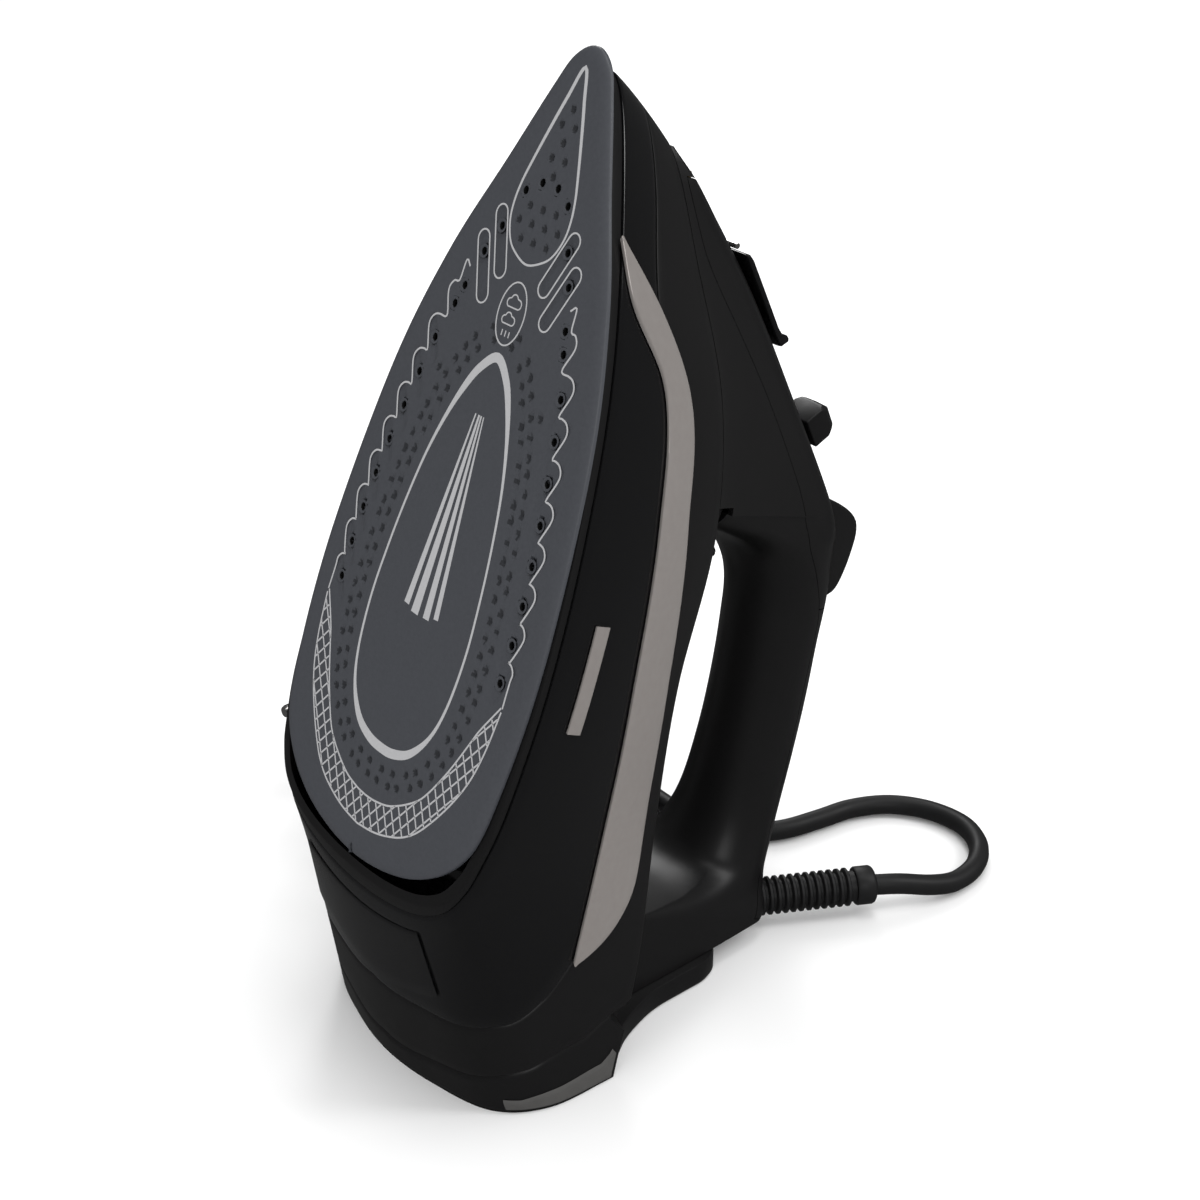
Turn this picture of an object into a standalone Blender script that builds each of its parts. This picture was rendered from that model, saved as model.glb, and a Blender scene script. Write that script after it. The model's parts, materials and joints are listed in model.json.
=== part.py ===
"""Steam iron, stood on its heel, as an assembly of separate pieces.

The iron's own frame is in millimetres: X across, Y from the sole's face (0) to the handle,
Z from the sole's rear edge (0) to its tip.  One empty leans that frame back so that the
heel rests flat on Z = 0.  The cord, its coil and its plug lie on the floor in world axes.
"""
import math

import bmesh
import bpy
from mathutils import Matrix, Vector

MM = 0.001
GAP = 0.3                      # clearance between touching pieces
LEAN = math.radians(22.1)      # how far the iron leans back when it stands on its heel
REST = 76.9                    # height of the frame's origin above the floor
DEPTH_SHIFT = -94.6            # moves the iron along world Y so that its box is centred

SOLE_THICKNESS = 2.3
BASE_Y = 2.5                   # where the housing's side starts above the sole's face
FLOOR_LOW, FLOOR_HIGH = 15.4, 17.0   # the water tank's floor
DECK_END = 7.33                # rib where the deck stops and the heel cover starts
CORNER = 8                     # rib at the heel's corner

# Half width and Z of each point of the sole's outline, tip to rear.
SOLE = [(0, 235), (7.4, 231.2), (12.8, 221.5), (22.6, 200), (36.4, 170), (46.8, 134), (52.9, 82),
        (51.9, 43), (46.4, 20), (28, 5.2), (0, -0.3)]

# Ribs of the housing, nose to rear: (x, z) at the sole, then (x, y, z) at the top edge.
RIBS = [((0, 232), (0, 33.2, 217.5)), ((9, 224), (6.5, 36.6, 210.5)), ((23.5, 194), (16, 44.8, 188.5)),
        ((39.5, 157), (28.5, 58.5, 154)), ((50, 118), (37, 65, 116)), ((54.8, 75), (40.5, 66, 72)),
        ((54, 38), (40.5, 75, 30)), ((50.5, 19), (47.5, 79.5, -12)), ((47.5, 11), (51.5, 81.2, -50)),
        ((42, 4), (51, 60, -58.6)), ((32, -1), (41.5, 46.2, -64.2)), ((17.5, -4), (21, 39.8, -66.8)),
        ((0, -5), (0, 37.4, -67.8))]
LAST = len(RIBS) - 1

# Seams on the housing's side: height y at rib s.
SKIRT_SEAM = [(0, 8.5), (2, 8.5), (3.1, 6.8), (4.2, 5.2), (12, 5.2)]
TANK_SEAM = [(0, 19.5), (1.5, 22.8), (2.5, 23.8), (2.95, 31), (3.5, 37.5), (4.3, 42), (5.3, 51),
             (6.3, 57.5), (6.8, 57.8), (7.4, 51), (8.4, 42.6), (9.4, 32.2), (10.5, 25.2), (12, 22.3)]
COVER_SEAM = [(7.3, 82.9), (7.6, 73), (8.4, 58), (8.9, 50.5), (9.7, 41.5), (10.6, 36), (12, 33.4)]
STRIP_LOW = [(2.12, 7), (2.54, 12.5), (2.94, 25.5), (3.3, 30), (3.9, 32.2), (4.9, 38),
             (5.7, 44), (6.4, 47.6), (7.36, 51)]
STRIP_HIGH = [(2.12, 7.8), (2.54, 25), (2.94, 37.2), (3.3, 42.6), (3.9, 45.8), (4.9, 56.5),
              (5.7, 64.5), (6.4, 69), (6.75, 65), (7.36, 51.8)]

# Handle unit: z, underside y, half width at the underside, top y, half width near the top.
HANDLE = [(216, 34, 6.5, 36, 3), (208, 37, 9, 48.5, 7), (190, 43.5, 15.5, 71.5, 10),
          (175, 49.5, 20.5, 88, 12), (154, 59.5, 27.5, 109.5, 14), (140, 65, 30.5, 124, 15),
          (126, 65, 34, 137.5, 16), (117, 68, 29, 144.5, 16.2), (113, 84, 22, 147, 16.2),
          (110, 98, 18.5, 149, 16.2), (104, 109, 17, 151.5, 16.2), (94, 117.5, 16, 154, 16),
          (80, 122, 15.5, 156.5, 15.5), (60, 126.5, 15.5, 160.3, 15.5), (40, 129.5, 15.8, 163, 15.8),
          (20, 131, 17, 164.3, 17), (8, 129.5, 19.5, 164, 19.5), (0, 125, 22.5, 163.2, 22),
          (-5, 115, 25, 162, 24), (-8.5, 98, 28, 161, 25.5), (-11, 81.5, 30, 160, 26.5),
          (-20, 83.4, 32, 157, 28), (-30, 84, 32.5, 150, 29), (-42, 84.5, 32.5, 140, 29.5)]
ROUND_FROM, ROUND_TO = 122, 104      # between these z the hood turns into the round grip
TAIL_FROM, TAIL_TO = 4, -10          # and here the grip turns into the square tail

# Parting line between the handle shell and the covers on top of it, as y at z.
COVER_LINE = [(-12, 149), (0, 152), (20, 154), (42, 152.5), (65, 149), (88, 144.5), (104, 134),
              (118, 120.5), (132, 109.5), (154, 88.5), (172, 69), (182, 58), (190, 50.5), (200, 44.8), (209, 40)]

RIDGE_SLOPE = math.atan2(1.07, 1)    # how steeply the hood's ridge climbs from the sole
DIAL_Z, DIAL_R = 124.0, 29.2
DIAL_TAB = 5.6
DIAL_LOW, DIAL_HIGH = 66.8, 72.4
SLIDER_AT = (121.2, 143.2)           # y, z of the steam slider on the ridge
VALVE_Z = 159.0                      # the drip valve rod stands in front of the dial
LID_HINGE = (67.6, 194.2)
FILLER_Z = 174.0
SCREW_FRONT = (48.0, 187.0)          # deck height and z of the screws that hold the handle
SCREW_REAR = (80.9, -14.0)
BUTTON_Z = 110.2
PUMP_Z = 112.0
PUMP_X = 5.6
NOZZLE_Y = 44.6

# Cord guard and cord, in floor coordinates: x, distance back, height above the floor.
GUARD_START = (15.6, 139.8)
GUARD_TURN = math.radians(26.8)      # the guard is swung towards +X
GUARD_LENGTH = 43.6
GUARD_HEIGHT = 9.4
CORD_D = 7.0
COIL_CENTRE = (-92.0, 115.0)
COIL_RADII = (38.0, 45.0)
COIL_LAYERS = 3
CORD_ROUTE = [(35.9, 178.8, 9.4), (40, 187, 8.6), (44.2, 198, 5.8), (45.6, 208, 4.0), (43, 220, 3.8), (35, 230, 3.8),
              (23, 235, 3.8), (9, 232.5, 3.8), (-2.5, 224, 3.8), (-9, 211, 3.8), (-11, 197, 3.8), (-14, 182, 3.8),
              (-22, 169, 3.8), (-35, 161.3, 3.8), (-50, 160, 3.8), (-70, 160, 3.8), (-91.5, 160, 3.8)]
LEAD_ROUTE = [(-100, 153.2, 25.2), (-114, 150, 26.5), (-128, 141.5, 31), (-135.5, 129, 35.5), (-136, 117.5, 37)]
PLUG_AT = (-134.0, 92.0, 37.0)
PLUG_TURN = math.radians(-86)


def clear_scene():
    for thing in list(bpy.data.objects):
        bpy.data.objects.remove(thing)


clear_scene()
PARTS = bpy.data.collections.new("clothes_iron")
CUTTERS = bpy.data.collections.new("cutters")
bpy.context.scene.collection.children.link(PARTS)
bpy.context.scene.collection.children.link(CUTTERS)

lean = bpy.data.objects.new("lean_frame", None)
PARTS.objects.link(lean)
lean.rotation_euler = (-LEAN, 0, 0)
lean.location = (0, DEPTH_SHIFT * MM, REST * MM)

floor_frame = bpy.data.objects.new("floor_frame", None)
PARTS.objects.link(floor_frame)
floor_frame.location = (0, DEPTH_SHIFT * MM, 0)


def material(name, colour, roughness, metallic=0.0):
    made = bpy.data.materials.new(name)
    made.use_nodes = True
    shader = made.node_tree.nodes["Principled BSDF"]
    shader.inputs["Base Color"].default_value = (*colour, 1)
    shader.inputs["Roughness"].default_value = roughness
    shader.inputs["Metallic"].default_value = metallic
    return made


SLATE = material("slate_ceramic", (0.063, 0.068, 0.078), 0.35)
GLOSS = material("gloss_black", (0.006, 0.006, 0.007), 0.08)
SATIN = material("charcoal_satin", (0.016, 0.016, 0.018), 0.32)
PAD = material("grey_pad", (0.04, 0.039, 0.038), 0.6)
STEEL = material("bright_metal", (0.45, 0.42, 0.40), 0.22, 1.0)
CAST = material("cast_aluminium", (0.5, 0.5, 0.5), 0.5, 1.0)
BRASS = material("brass", (0.6, 0.45, 0.2), 0.3, 1.0)
RUBBER = material("black_rubber", (0.012, 0.012, 0.013), 0.55)
NATURAL = material("natural_plastic", (0.5, 0.5, 0.47), 0.45)


def blend(p, q, r, u, t):
    """Catmull-Rom value between q and r."""
    return 0.5 * (2 * q + (r - p) * t + (2 * p - 5 * q + 4 * r - u) * t * t + (3 * q - p - 3 * r + u) * t ** 3)


def spline(points, s, mirrored=(True, True)):
    """Smooth curve through points at whole numbers s; a mirrored end continues across x = 0."""
    last = len(points) - 1
    i = min(int(max(s, 0)), last - 1)

    def get(k):
        if k < 0:
            return mirror(points[-k]) if mirrored[0] else extend(points[0], points[1])
        if k > last:
            return mirror(points[2 * last - k]) if mirrored[1] else extend(points[last], points[last - 1])
        return points[k]

    near = [get(k) for k in (i - 1, i, i + 1, i + 2)]
    return tuple(blend(*values, s - i) for values in zip(*near))


def mirror(point):
    return (-point[0],) + tuple(point[1:])


def extend(end, inner):
    return tuple(2 * a - b for a, b in zip(end, inner))


def curve_value(table, x, column=1):
    """Smooth value of a table of (x, value ...) rows, rising or falling in x."""
    rows = table if table[0][0] < table[-1][0] else table[::-1]
    if x <= rows[0][0]:
        return rows[0][column]
    if x >= rows[-1][0]:
        return rows[-1][column]
    i = max(k for k in range(len(rows) - 1) if rows[k][0] <= x)
    (x0, y0), (x1, y1) = ((rows[k][0], rows[k][column]) for k in (i, i + 1))

    def slope(k):
        before, after = rows[max(k - 1, 0)], rows[min(k + 1, len(rows) - 1)]
        return (after[column] - before[column]) / (after[0] - before[0])

    t = (x - x0) / (x1 - x0)
    width = x1 - x0
    return ((2 * t ** 3 - 3 * t * t + 1) * y0 + (t ** 3 - 2 * t * t + t) * width * slope(i)
            + (3 * t * t - 2 * t ** 3) * y1 + (t ** 3 - t * t) * width * slope(i + 1))


def top_edge(s):
    """Top edge of the housing: along the deck, round the heel's corner, across the heel."""
    tops = [top for base, top in RIBS]
    if s <= CORNER:
        return spline(tops[:CORNER + 1], s, (True, False))
    return spline(tops[CORNER:], s - CORNER, (False, True))


def bulge(s):
    """How round a rib is: 2 on the sides, straight across the heel."""
    return 2.0 - 0.85 * min(max((s - 6.5) / 2.5, 0), 1)


def side(s, y, inset=0.0):
    """Point of the housing's side on rib s at height y, moved inwards by the inset."""
    bx, bz = spline([base for base, top in RIBS], s)
    tx, ty, tz = top_edge(s)
    rise = (y - BASE_Y) / (ty - BASE_Y)
    nose = 1 + 0.3 * max(0, 1 - s / 2)
    x = bx + (tx - bx) * max(rise, 0) ** bulge(s)
    z = bz + (tz - bz) * max(rise, 0) ** nose
    return Vector((x * (1 - inset / 54), y, 80 + (z - 80) * (1 - inset * 0.011)))


def stations(start, stop, step, extra=()):
    """Rib values from start to stop, with some values that must be among them."""
    count = max(1, round((stop - start) / step))
    values = [start + (stop - start) * i / count for i in range(count + 1)]
    kept = [v for v in values if all(abs(v - e) > step * 0.35 for e in extra)]
    return sorted(kept + list(extra))


FRONT_S = stations(0, DECK_END, 0.4)
REAR_S = stations(DECK_END, LAST, 0.4)
HOUSING_S = FRONT_S + REAR_S[1:]


def add_object(name, mesh, look, parent=lean, collection=PARTS):
    thing = bpy.data.objects.new(name, mesh)
    collection.objects.link(thing)
    thing.parent = parent
    if look:
        mesh.materials.append(look)
    return thing


def add_mesh(name, build, look, parent=lean, at=(0, 0, 0), turn=(0, 0, 0)):
    """Object from a bmesh that build fills in millimetres about the object's own origin."""
    bm = bmesh.new()
    build(bm)
    bmesh.ops.scale(bm, vec=(MM, MM, MM), verts=bm.verts)
    bmesh.ops.remove_doubles(bm, verts=bm.verts, dist=0.00001)
    bmesh.ops.dissolve_degenerate(bm, edges=bm.edges, dist=0.00001)
    bmesh.ops.recalc_face_normals(bm, faces=bm.faces)
    bmesh.ops.triangulate(bm, faces=bm.faces)
    mesh = bpy.data.meshes.new(name)
    bm.to_mesh(mesh)
    bm.free()
    mesh.shade_smooth()
    mesh.set_sharp_from_angle(angle=math.radians(35))
    thing = add_object(name, mesh, look, parent)
    thing.location = [value * MM for value in at]
    thing.rotation_euler = turn
    return thing


def skin(bm, sections, closed=False):
    """Quads between sections of equally many points."""
    rows = [[bm.verts.new(p) for p in section] for section in sections]
    for a, b in zip(rows, rows[1:]):
        count = len(a)
        for j in range(count if closed else count - 1):
            k = (j + 1) % count
            bm.faces.new((a[j], a[k], b[k], b[j]))
    return rows


def mirrored(thing):
    """Completes a half that is open at x = 0."""
    modifier = thing.modifiers.new("halves", "MIRROR")
    modifier.merge_threshold = 0.00005
    return thing


def bevelled(thing, width, segments=2):
    modifier = thing.modifiers.new("edges", "BEVEL")
    modifier.width = width * MM
    modifier.segments = segments
    modifier.limit_method = "ANGLE"
    modifier.angle_limit = math.radians(40)
    return thing


def as_cutter(thing):
    PARTS.objects.unlink(thing)
    CUTTERS.objects.link(thing)
    thing.hide_render = True
    thing.display_type = "WIRE"
    return thing


def cut(thing, cutter, operation="DIFFERENCE"):
    modifier = thing.modifiers.new(cutter.name, "BOOLEAN")
    modifier.operation = operation
    modifier.object = cutter
    return thing


def box(name, size, at, look=None, turn=(0, 0, 0), parent=lean):
    def build(bm):
        bmesh.ops.create_cube(bm, size=1)
        bmesh.ops.scale(bm, vec=size, verts=bm.verts)
    return add_mesh(name, build, look, parent, at, turn)


def rod(name, radius, length, at, look=None, turn=(0, 0, 0), parent=lean, sides=20, tip=None):
    """Cylinder along its own Z, centred, with an optional smaller radius at its +Z end."""
    def build(bm):
        bmesh.ops.create_cone(bm, cap_ends=True, segments=sides, radius1=radius,
                              radius2=radius if tip is None else tip, depth=length)
    return add_mesh(name, build, look, parent, at, turn)


UPRIGHT = (-math.pi / 2, 0, 0)       # turns a rod's Z to the iron's +Y
ACROSS = (0, math.pi / 2, 0)         # turns a rod's Z to +X


def turned(name, profile, look, at=(0, 0, 0), turn=(0, 0, 0), parent=lean, steps=20):
    """Ring or knob turned about its own Z from a closed (radius, z) profile."""
    def build(bm):
        rows = []
        for i in range(steps):
            angle = 2 * math.pi * i / steps
            rows.append([bm.verts.new((r * math.cos(angle), r * math.sin(angle), z)) for r, z in profile])
        for i in range(steps):
            a, b = rows[i], rows[(i + 1) % steps]
            for j in range(len(profile)):
                k = (j + 1) % len(profile)
                if profile[j][0] == 0 and profile[k][0] == 0:
                    continue
                bm.faces.new((a[j], a[k], b[k], b[j]))
    return add_mesh(name, build, look, parent, at, turn)


def pipe(name, points, diameter, look, parent=lean, resolution=2):
    """Round tube along a smooth path through the points."""
    data = bpy.data.curves.new(name, "CURVE")
    data.dimensions = "3D"
    data.bevel_depth = diameter / 2 * MM
    data.bevel_resolution = resolution
    data.use_fill_caps = True
    line = data.splines.new("POLY")
    line.points.add(len(points) - 1)
    for target, point in zip(line.points, points):
        target.co = (*[value * MM for value in point], 1)
    thing = bpy.data.objects.new(name, data)
    PARTS.objects.link(thing)
    thing.parent = parent
    data.materials.append(look)
    return thing


def smooth_path(points, per_span):
    last = len(points) - 1
    steps = last * per_span
    return [spline(points, i / per_span, (False, False)) for i in range(steps + 1)]


def make_soleplate():
    """Pressed plate with a bevelled rim and rows of steam holes."""
    def build(bm):
        outline = [spline(SOLE, s) for s in stations(0, len(SOLE) - 1, 0.25)]

        def ring(y, shrink):
            return [Vector((x * (1 - shrink / 56), y, 100 + (z - 100) * (1 - shrink / 110))) for x, z in outline]
        rings = [ring(0, 3.2), ring(0.9, 0.6), ring(1.4, 0), ring(SOLE_THICKNESS, 0)]
        bottom = [Vector((0, 0, p.z)) for p in rings[0]]
        top = [Vector((0, SOLE_THICKNESS, p.z)) for p in rings[-1]]
        skin(bm, [bottom] + rings + [top])
    sole = mirrored(add_mesh("soleplate", build, SLATE))
    front = [(23.4, 162.8), (25.4, 157)]
    row = [(29.7 + 10.7 * math.sin(math.pi / 2 * i / 6.5), 145.9 - 10.9 * i) for i in range(8)]
    for index, (x, z) in enumerate(front + row):
        for sign in (1, -1):
            hole = rod(f"steam_hole_{index}_{sign}", 1.3, 12, (sign * x, 1, z), turn=UPRIGHT, sides=10)
            cut(sole, as_cutter(hole))
    return sole


def plate_outline(shrink, y, step=0.5):
    """The sole's outline drawn in by shrink, as half outline points at height y."""
    points = []
    for s in stations(0, len(SOLE) - 1, step):
        x, z = spline(SOLE, s)
        points.append(Vector((x * (1 - shrink / 56), y, 95 + (z - 95) * (1 - shrink * 1.35 / 120))))
    return points


def plate(name, shrink, low, high, look):
    """Flat solid with the sole's outline, between two heights."""
    def build(bm):
        a, b = plate_outline(shrink, low), plate_outline(shrink, high)
        skin(bm, [[Vector((0, low, p.z)) for p in a], a, b, [Vector((0, high, p.z)) for p in b]])
    return mirrored(add_mesh(name, build, look))


def u_path(y, spread=26.0):
    """Path of the heating element's groove: up one side, round the front and back."""
    half = [(14, y, 15), (16.5, y, 23), (20, y, 35), (spread, y, 60), (spread, y, 95), (spread - 5, y, 125), (11, y, 150), (0, y, 158)]
    other = [(-x, yy, z) for x, yy, z in half[-2::-1]]
    return smooth_path(half + other, 3)


def make_heating():
    """Cast block with the tubular element in its groove, and the steam chamber's cover."""
    casting = plate("heater_casting", 9, 2.6, 11.0, CAST)
    groove = pipe("element_groove", u_path(10.7), 9.6, CAST)
    groove_mesh = bpy.data.objects.new("element_groove_cutter", mesh_of(groove))
    CUTTERS.objects.link(groove_mesh)
    groove_mesh.parent = lean
    groove_mesh.hide_render = True
    groove_mesh.display_type = "WIRE"
    cut(casting, groove_mesh)
    bpy.data.objects.remove(groove)
    chamber = as_cutter(box("steam_chamber", (28, 6, 70), (0, 11.2, 92)))
    cut(casting, chamber)
    pipe("heating_element", u_path(10.9)[3:-3], 7.2, STEEL)
    bevelled(box("steam_chamber_cover", (32, 1.2, 76), (0, 12.0, 92), STEEL), 0.4, 1)
    box("thermostat", (11, 1.8, 16), (0, 13.8, 112), BRASS)
    rod("thermal_fuse", 1.2, 18, (0, 14.0, 78), NATURAL, turn=(0, 0, 0), sides=10)
    box("terminal_block", (22, 9, 9), (-12, 100, -17), NATURAL)


def mesh_of(curve_object):
    """Closed mesh of a bevelled curve, with its caps joined on."""
    graph = bpy.context.evaluated_depsgraph_get()
    mesh = bpy.data.meshes.new_from_object(curve_object.evaluated_get(graph))
    bm = bmesh.new()
    bm.from_mesh(mesh)
    bmesh.ops.remove_doubles(bm, verts=bm.verts, dist=0.00001)
    bmesh.ops.recalc_face_normals(bm, faces=bm.faces)
    bm.to_mesh(mesh)
    bm.free()
    return mesh


def rows_between(low, high, count):
    return [low + (high - low) * i / count for i in range(count + 1)]


def make_skirt():
    """Heat-resistant skirt between the sole and the tank."""
    def build(bm):
        sections = []
        for s in HOUSING_S:
            seam = curve_value(SKIRT_SEAM, s) - GAP
            sections.append([side(s, BASE_Y, 0.4), side(s, seam, 0.4), side(s, seam, 3.2), side(s, BASE_Y, 3.2)])
        skin(bm, sections, closed=True)
    return mirrored(add_mesh("heat_shield_skirt", build, SATIN))


def make_tank():
    """Water tank: one wall all round with a raised floor, open at the top."""
    wall = 2.4

    def build(bm):
        sections = []
        for s in HOUSING_S:
            low, high = curve_value(SKIRT_SEAM, s), curve_value(TANK_SEAM, s)
            outer = [side(s, y) for y in rows_between(high, low, 4)]
            inner_high = [side(s, y, wall) for y in (FLOOR_HIGH, high)]
            inner_low = [side(s, y, wall) for y in (low, FLOOR_LOW)]
            first, final = inner_high[0].copy(), inner_low[-1].copy()
            first.x = final.x = 0
            sections.append([first] + inner_high + outer + inner_low + [final])
        skin(bm, sections)
    tank = mirrored(add_mesh("water_tank", build, GLOSS))
    spindle_hole = rod("tank_spindle_hole", 3.4, 12, (0, 16.2, DIAL_Z), turn=UPRIGHT, sides=16)
    cut(tank, as_cutter(spindle_hole))
    return tank


def make_upper_shell():
    """Charcoal shell: the sides above the tank, the deck, and the band round the heel."""
    wall = 2.2

    def section(s, with_deck):
        low = curve_value(TANK_SEAM, s) + GAP
        high = top_edge(s)[1] if with_deck else curve_value(COVER_SEAM, s) - GAP
        outer = [side(s, y) for y in rows_between(low, high, 4)]
        inner = [side(s, y, wall) for y in rows_between(low, high - (wall if with_deck else 0), 4)]
        middle_out, middle_in = outer[-1].copy(), inner[-1].copy()
        if with_deck:
            middle_out.x = middle_in.x = 0
        return [middle_in] + inner[::-1] + outer + [middle_out]

    def build(bm):
        front = [section(s, True) for s in FRONT_S]
        rear = [section(s, False) for s in REAR_S]
        # The first rear section keeps the deck's height, so that the two halves meet.
        rear[0] = [front[-1][1]] + front[-1][1:-1] + [front[-1][-2]]
        front_rows = skin(bm, front)
        skin(bm, [r[1:-1] for r in rear], closed=True)
        last = front_rows[-1]
        bm.faces.new((last[0], last[1], last[-2], last[-1]))
    shell = mirrored(add_mesh("upper_body_shell", build, SATIN))
    for name, radius, z in (("deck_spindle_hole", 3.4, DIAL_Z), ("deck_filler_hole", 7.6, FILLER_Z), ("deck_valve_hole", 2.2, VALVE_Z),
                            ("front_screw_hole", 2.1, SCREW_FRONT[1]), ("rear_screw_hole", 2.1, SCREW_REAR[1])):
        cut(shell, as_cutter(rod(name, radius, 80, (0, 60, z), turn=UPRIGHT, sides=16)))
    return shell


def make_trim(sign, name):
    """Bright strip laid over the joint between the tank and the upper shell."""
    def build(bm):
        sections = []
        for s in stations(2.14, 7.34, 0.2):
            low, high = curve_value(STRIP_LOW, s), curve_value(STRIP_HIGH, s)
            middle = (low + high) / 2
            outer = [side(s, y, -1.3) for y in (low, middle, high)]
            inner = [side(s, y, -0.35) for y in (high, middle, low)]
            sections.append([Vector((sign * p.x, p.y, p.z)) for p in outer + inner])
        rows = skin(bm, sections, closed=True)
        bm.faces.new(rows[0])
        bm.faces.new(rows[-1][::-1])
    return add_mesh(name, build, STEEL)


def make_badge():
    """Blank plate on the tank's right side."""
    def build(bm):
        sections = []
        for s in rows_between(4.58, 5.3, 3):
            low, high = 15.2, 20.6
            sections.append([side(s, y, inset) for y, inset in ((low, -0.9), (high, -0.9), (high, -0.3), (low, -0.3))])
        rows = skin(bm, sections, closed=True)
        bm.faces.new(rows[0])
        bm.faces.new(rows[-1][::-1])
    return add_mesh("badge_plate", build, STEEL)


def make_service_panel():
    """Thin panel set on the tank's rear, below the sole."""
    def build(bm):
        sections = []
        for s in stations(10.25, LAST, 0.35):
            low, high = 8.0, 20.5
            sections.append([side(s, y, inset) for y, inset in ((low, -0.9), (high, -0.9), (high, -0.3), (low, -0.3))])
        rows = skin(bm, sections, closed=True)
        bm.faces.new(rows[0])
    return mirrored(add_mesh("service_panel", build, GLOSS))


def lean_point(x, back, height):
    """Point of the iron's frame from x, distance back and height above the floor."""
    up = height - REST
    return Vector((x, back * math.cos(LEAN) - up * math.sin(LEAN), back * math.sin(LEAN) + up * math.cos(LEAN)))


def make_heel_cover():
    """Heel cover: the band round the heel, the plate it stands on and the base of the tail."""
    wall = 2.5

    def section(s):
        low = curve_value(COVER_SEAM, s) + GAP
        high = top_edge(s)[1] - 0.01
        outer = [side(s, y) for y in rows_between(low, high, 3)]
        inner = [side(s, y, wall) for y in rows_between(low, high, 3)]
        lift = Vector((0, -wall * math.sin(LEAN), wall * math.cos(LEAN))) if s >= CORNER else Vector((0, -wall, 0))
        inner[-1] = inner[-1] + lift
        middle_out, middle_in = outer[-1].copy(), inner[-1].copy()
        middle_out.x = middle_in.x = 0
        return [middle_in] + inner[::-1] + outer + [middle_out]

    def build(bm):
        rows = skin(bm, [section(s) for s in stations(7.6, LAST, 0.4, (CORNER,))])
        bm.faces.new(rows[0])
    cover = mirrored(add_mesh("heel_cover", build, SATIN))

    footprint = [(48, 54.5), (46.5, 61), (41, 69), (36.5, 79), (34, 88), (33, 100), (32, 109), (27, 116), (14, 119.5), (0, 120.5)]

    def build_tail(bm):
        levels = [(0, 1.0), (1.2, 0), (7.8, 0)]
        sections = []
        for height, inset in levels:
            ring = [lean_point(x * (1 - inset / 40), back - inset * (back - 60) / 60, height) for x, back in footprint]
            sections.append([lean_point(0, 54.5, height)] + ring)
        bottom = [Vector((0, p.y, p.z)) for p in sections[0]]
        top = [Vector((0, p.y, p.z)) for p in sections[-1]]
        skin(bm, [bottom] + sections + [top])
    tail = mirrored(add_mesh("heel_tail_base", build_tail, None))
    cut(cover, as_cutter(tail), "UNION")
    return cover


def section_value(z, column):
    return curve_value(HANDLE, z, column)


def ramp(value, start, stop):
    t = min(max((value - start) / (stop - start), 0), 1)
    return t * t * (3 - 2 * t)


def deck_at(z):
    """Half width and height of the deck's edge at z."""
    low, high = 0.0, DECK_END
    for _ in range(30):
        middle = (low + high) / 2
        if top_edge(middle)[2] > z:
            low = middle
        else:
            high = middle
    x, y, _ = top_edge(low)
    return x, y


def handle_section(z, wall=0.0):
    """Half section of the handle unit at z, from its underside to its ridge."""
    low, high = section_value(z, 1) + wall, section_value(z, 3) - wall
    wide, narrow = section_value(z, 2) - wall, section_value(z, 4) - wall
    if z > ROUND_FROM:
        deck_x, deck_y = deck_at(z)
        low = deck_y + GAP + wall
        wide = max(deck_x - 0.4 - wall, 1.0)
    middle, reach = (low + high) / 2, (high - low) / 2
    roundness = ramp(z, ROUND_FROM, ROUND_TO) * (1 - ramp(z, TAIL_FROM, TAIL_TO))
    crown = min(9.0, reach)
    # Hood: a flat underside, a sloping side and a rounded ridge.
    hood = [(0, low), (wide * 0.55, low), (wide, low)]
    for u in (0.2, 0.45, 0.7, 1.0):
        hood.append((wide + (narrow - wide) * u ** 0.85, low + (high - crown - low) * u))
    for angle in (30, 60, 90):
        a = math.radians(angle)
        hood.append((narrow * math.cos(a), high - crown + crown * math.sin(a)))
    grip = []
    for angle in (-90, -65, -42, -22, 0, 18, 36, 54, 72, 90):
        a = math.radians(angle)
        grip.append(((wide + narrow) / 2 * math.cos(a), middle + reach * math.sin(a)))
    return [Vector((hx + (gx - hx) * roundness, hy + (gy - hy) * roundness, z))
            for (hx, hy), (gx, gy) in zip(hood, grip)]


HANDLE_Z = [216, 212, 208, 200, 190, 178, 166, 154, 144, 134, 126, 120, 117, 115, 113, 110, 107, 104, 99, 92,
            82, 70, 58, 46, 34, 22, 13, 7, 2, -2, -5, -7.5, -9.5, -11, -15, -21, -28, -36, -42]


def make_handle_solid(name, z_values, wall=0.0, low_shift=0.0):
    def build(bm):
        sections = [handle_section(z, wall) for z in z_values]
        if low_shift:
            for section in sections:
                for point in section[:3]:
                    if point.z > ROUND_FROM or point.z < TAIL_TO:
                        point.y -= low_shift
        rows = skin(bm, sections)
        bm.faces.new(rows[0])
        bm.faces.new(rows[-1][::-1])
    return mirrored(add_mesh(name, build, SATIN))


def side_prism(name, outline, half=60.0):
    """Cutter: a side-view outline in (y, z) run across the iron."""
    def build(bm):
        rows = skin(bm, [[Vector((x, y, z)) for y, z in outline] for x in (-half, half)], closed=True)
        bm.faces.new(rows[0])
        bm.faces.new(rows[-1][::-1])
    return as_cutter(add_mesh(name, build, None))


def parting(offset, shorter=0.0):
    """The covers' parting line moved up by the offset, heel end to nose."""
    return [(curve_value(COVER_LINE, z) + offset, z) for z in rows_between(-12 + shorter, 209.5 - shorter, 26)]


def guard_direction():
    return math.sin(GUARD_TURN), math.cos(GUARD_TURN)


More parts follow.
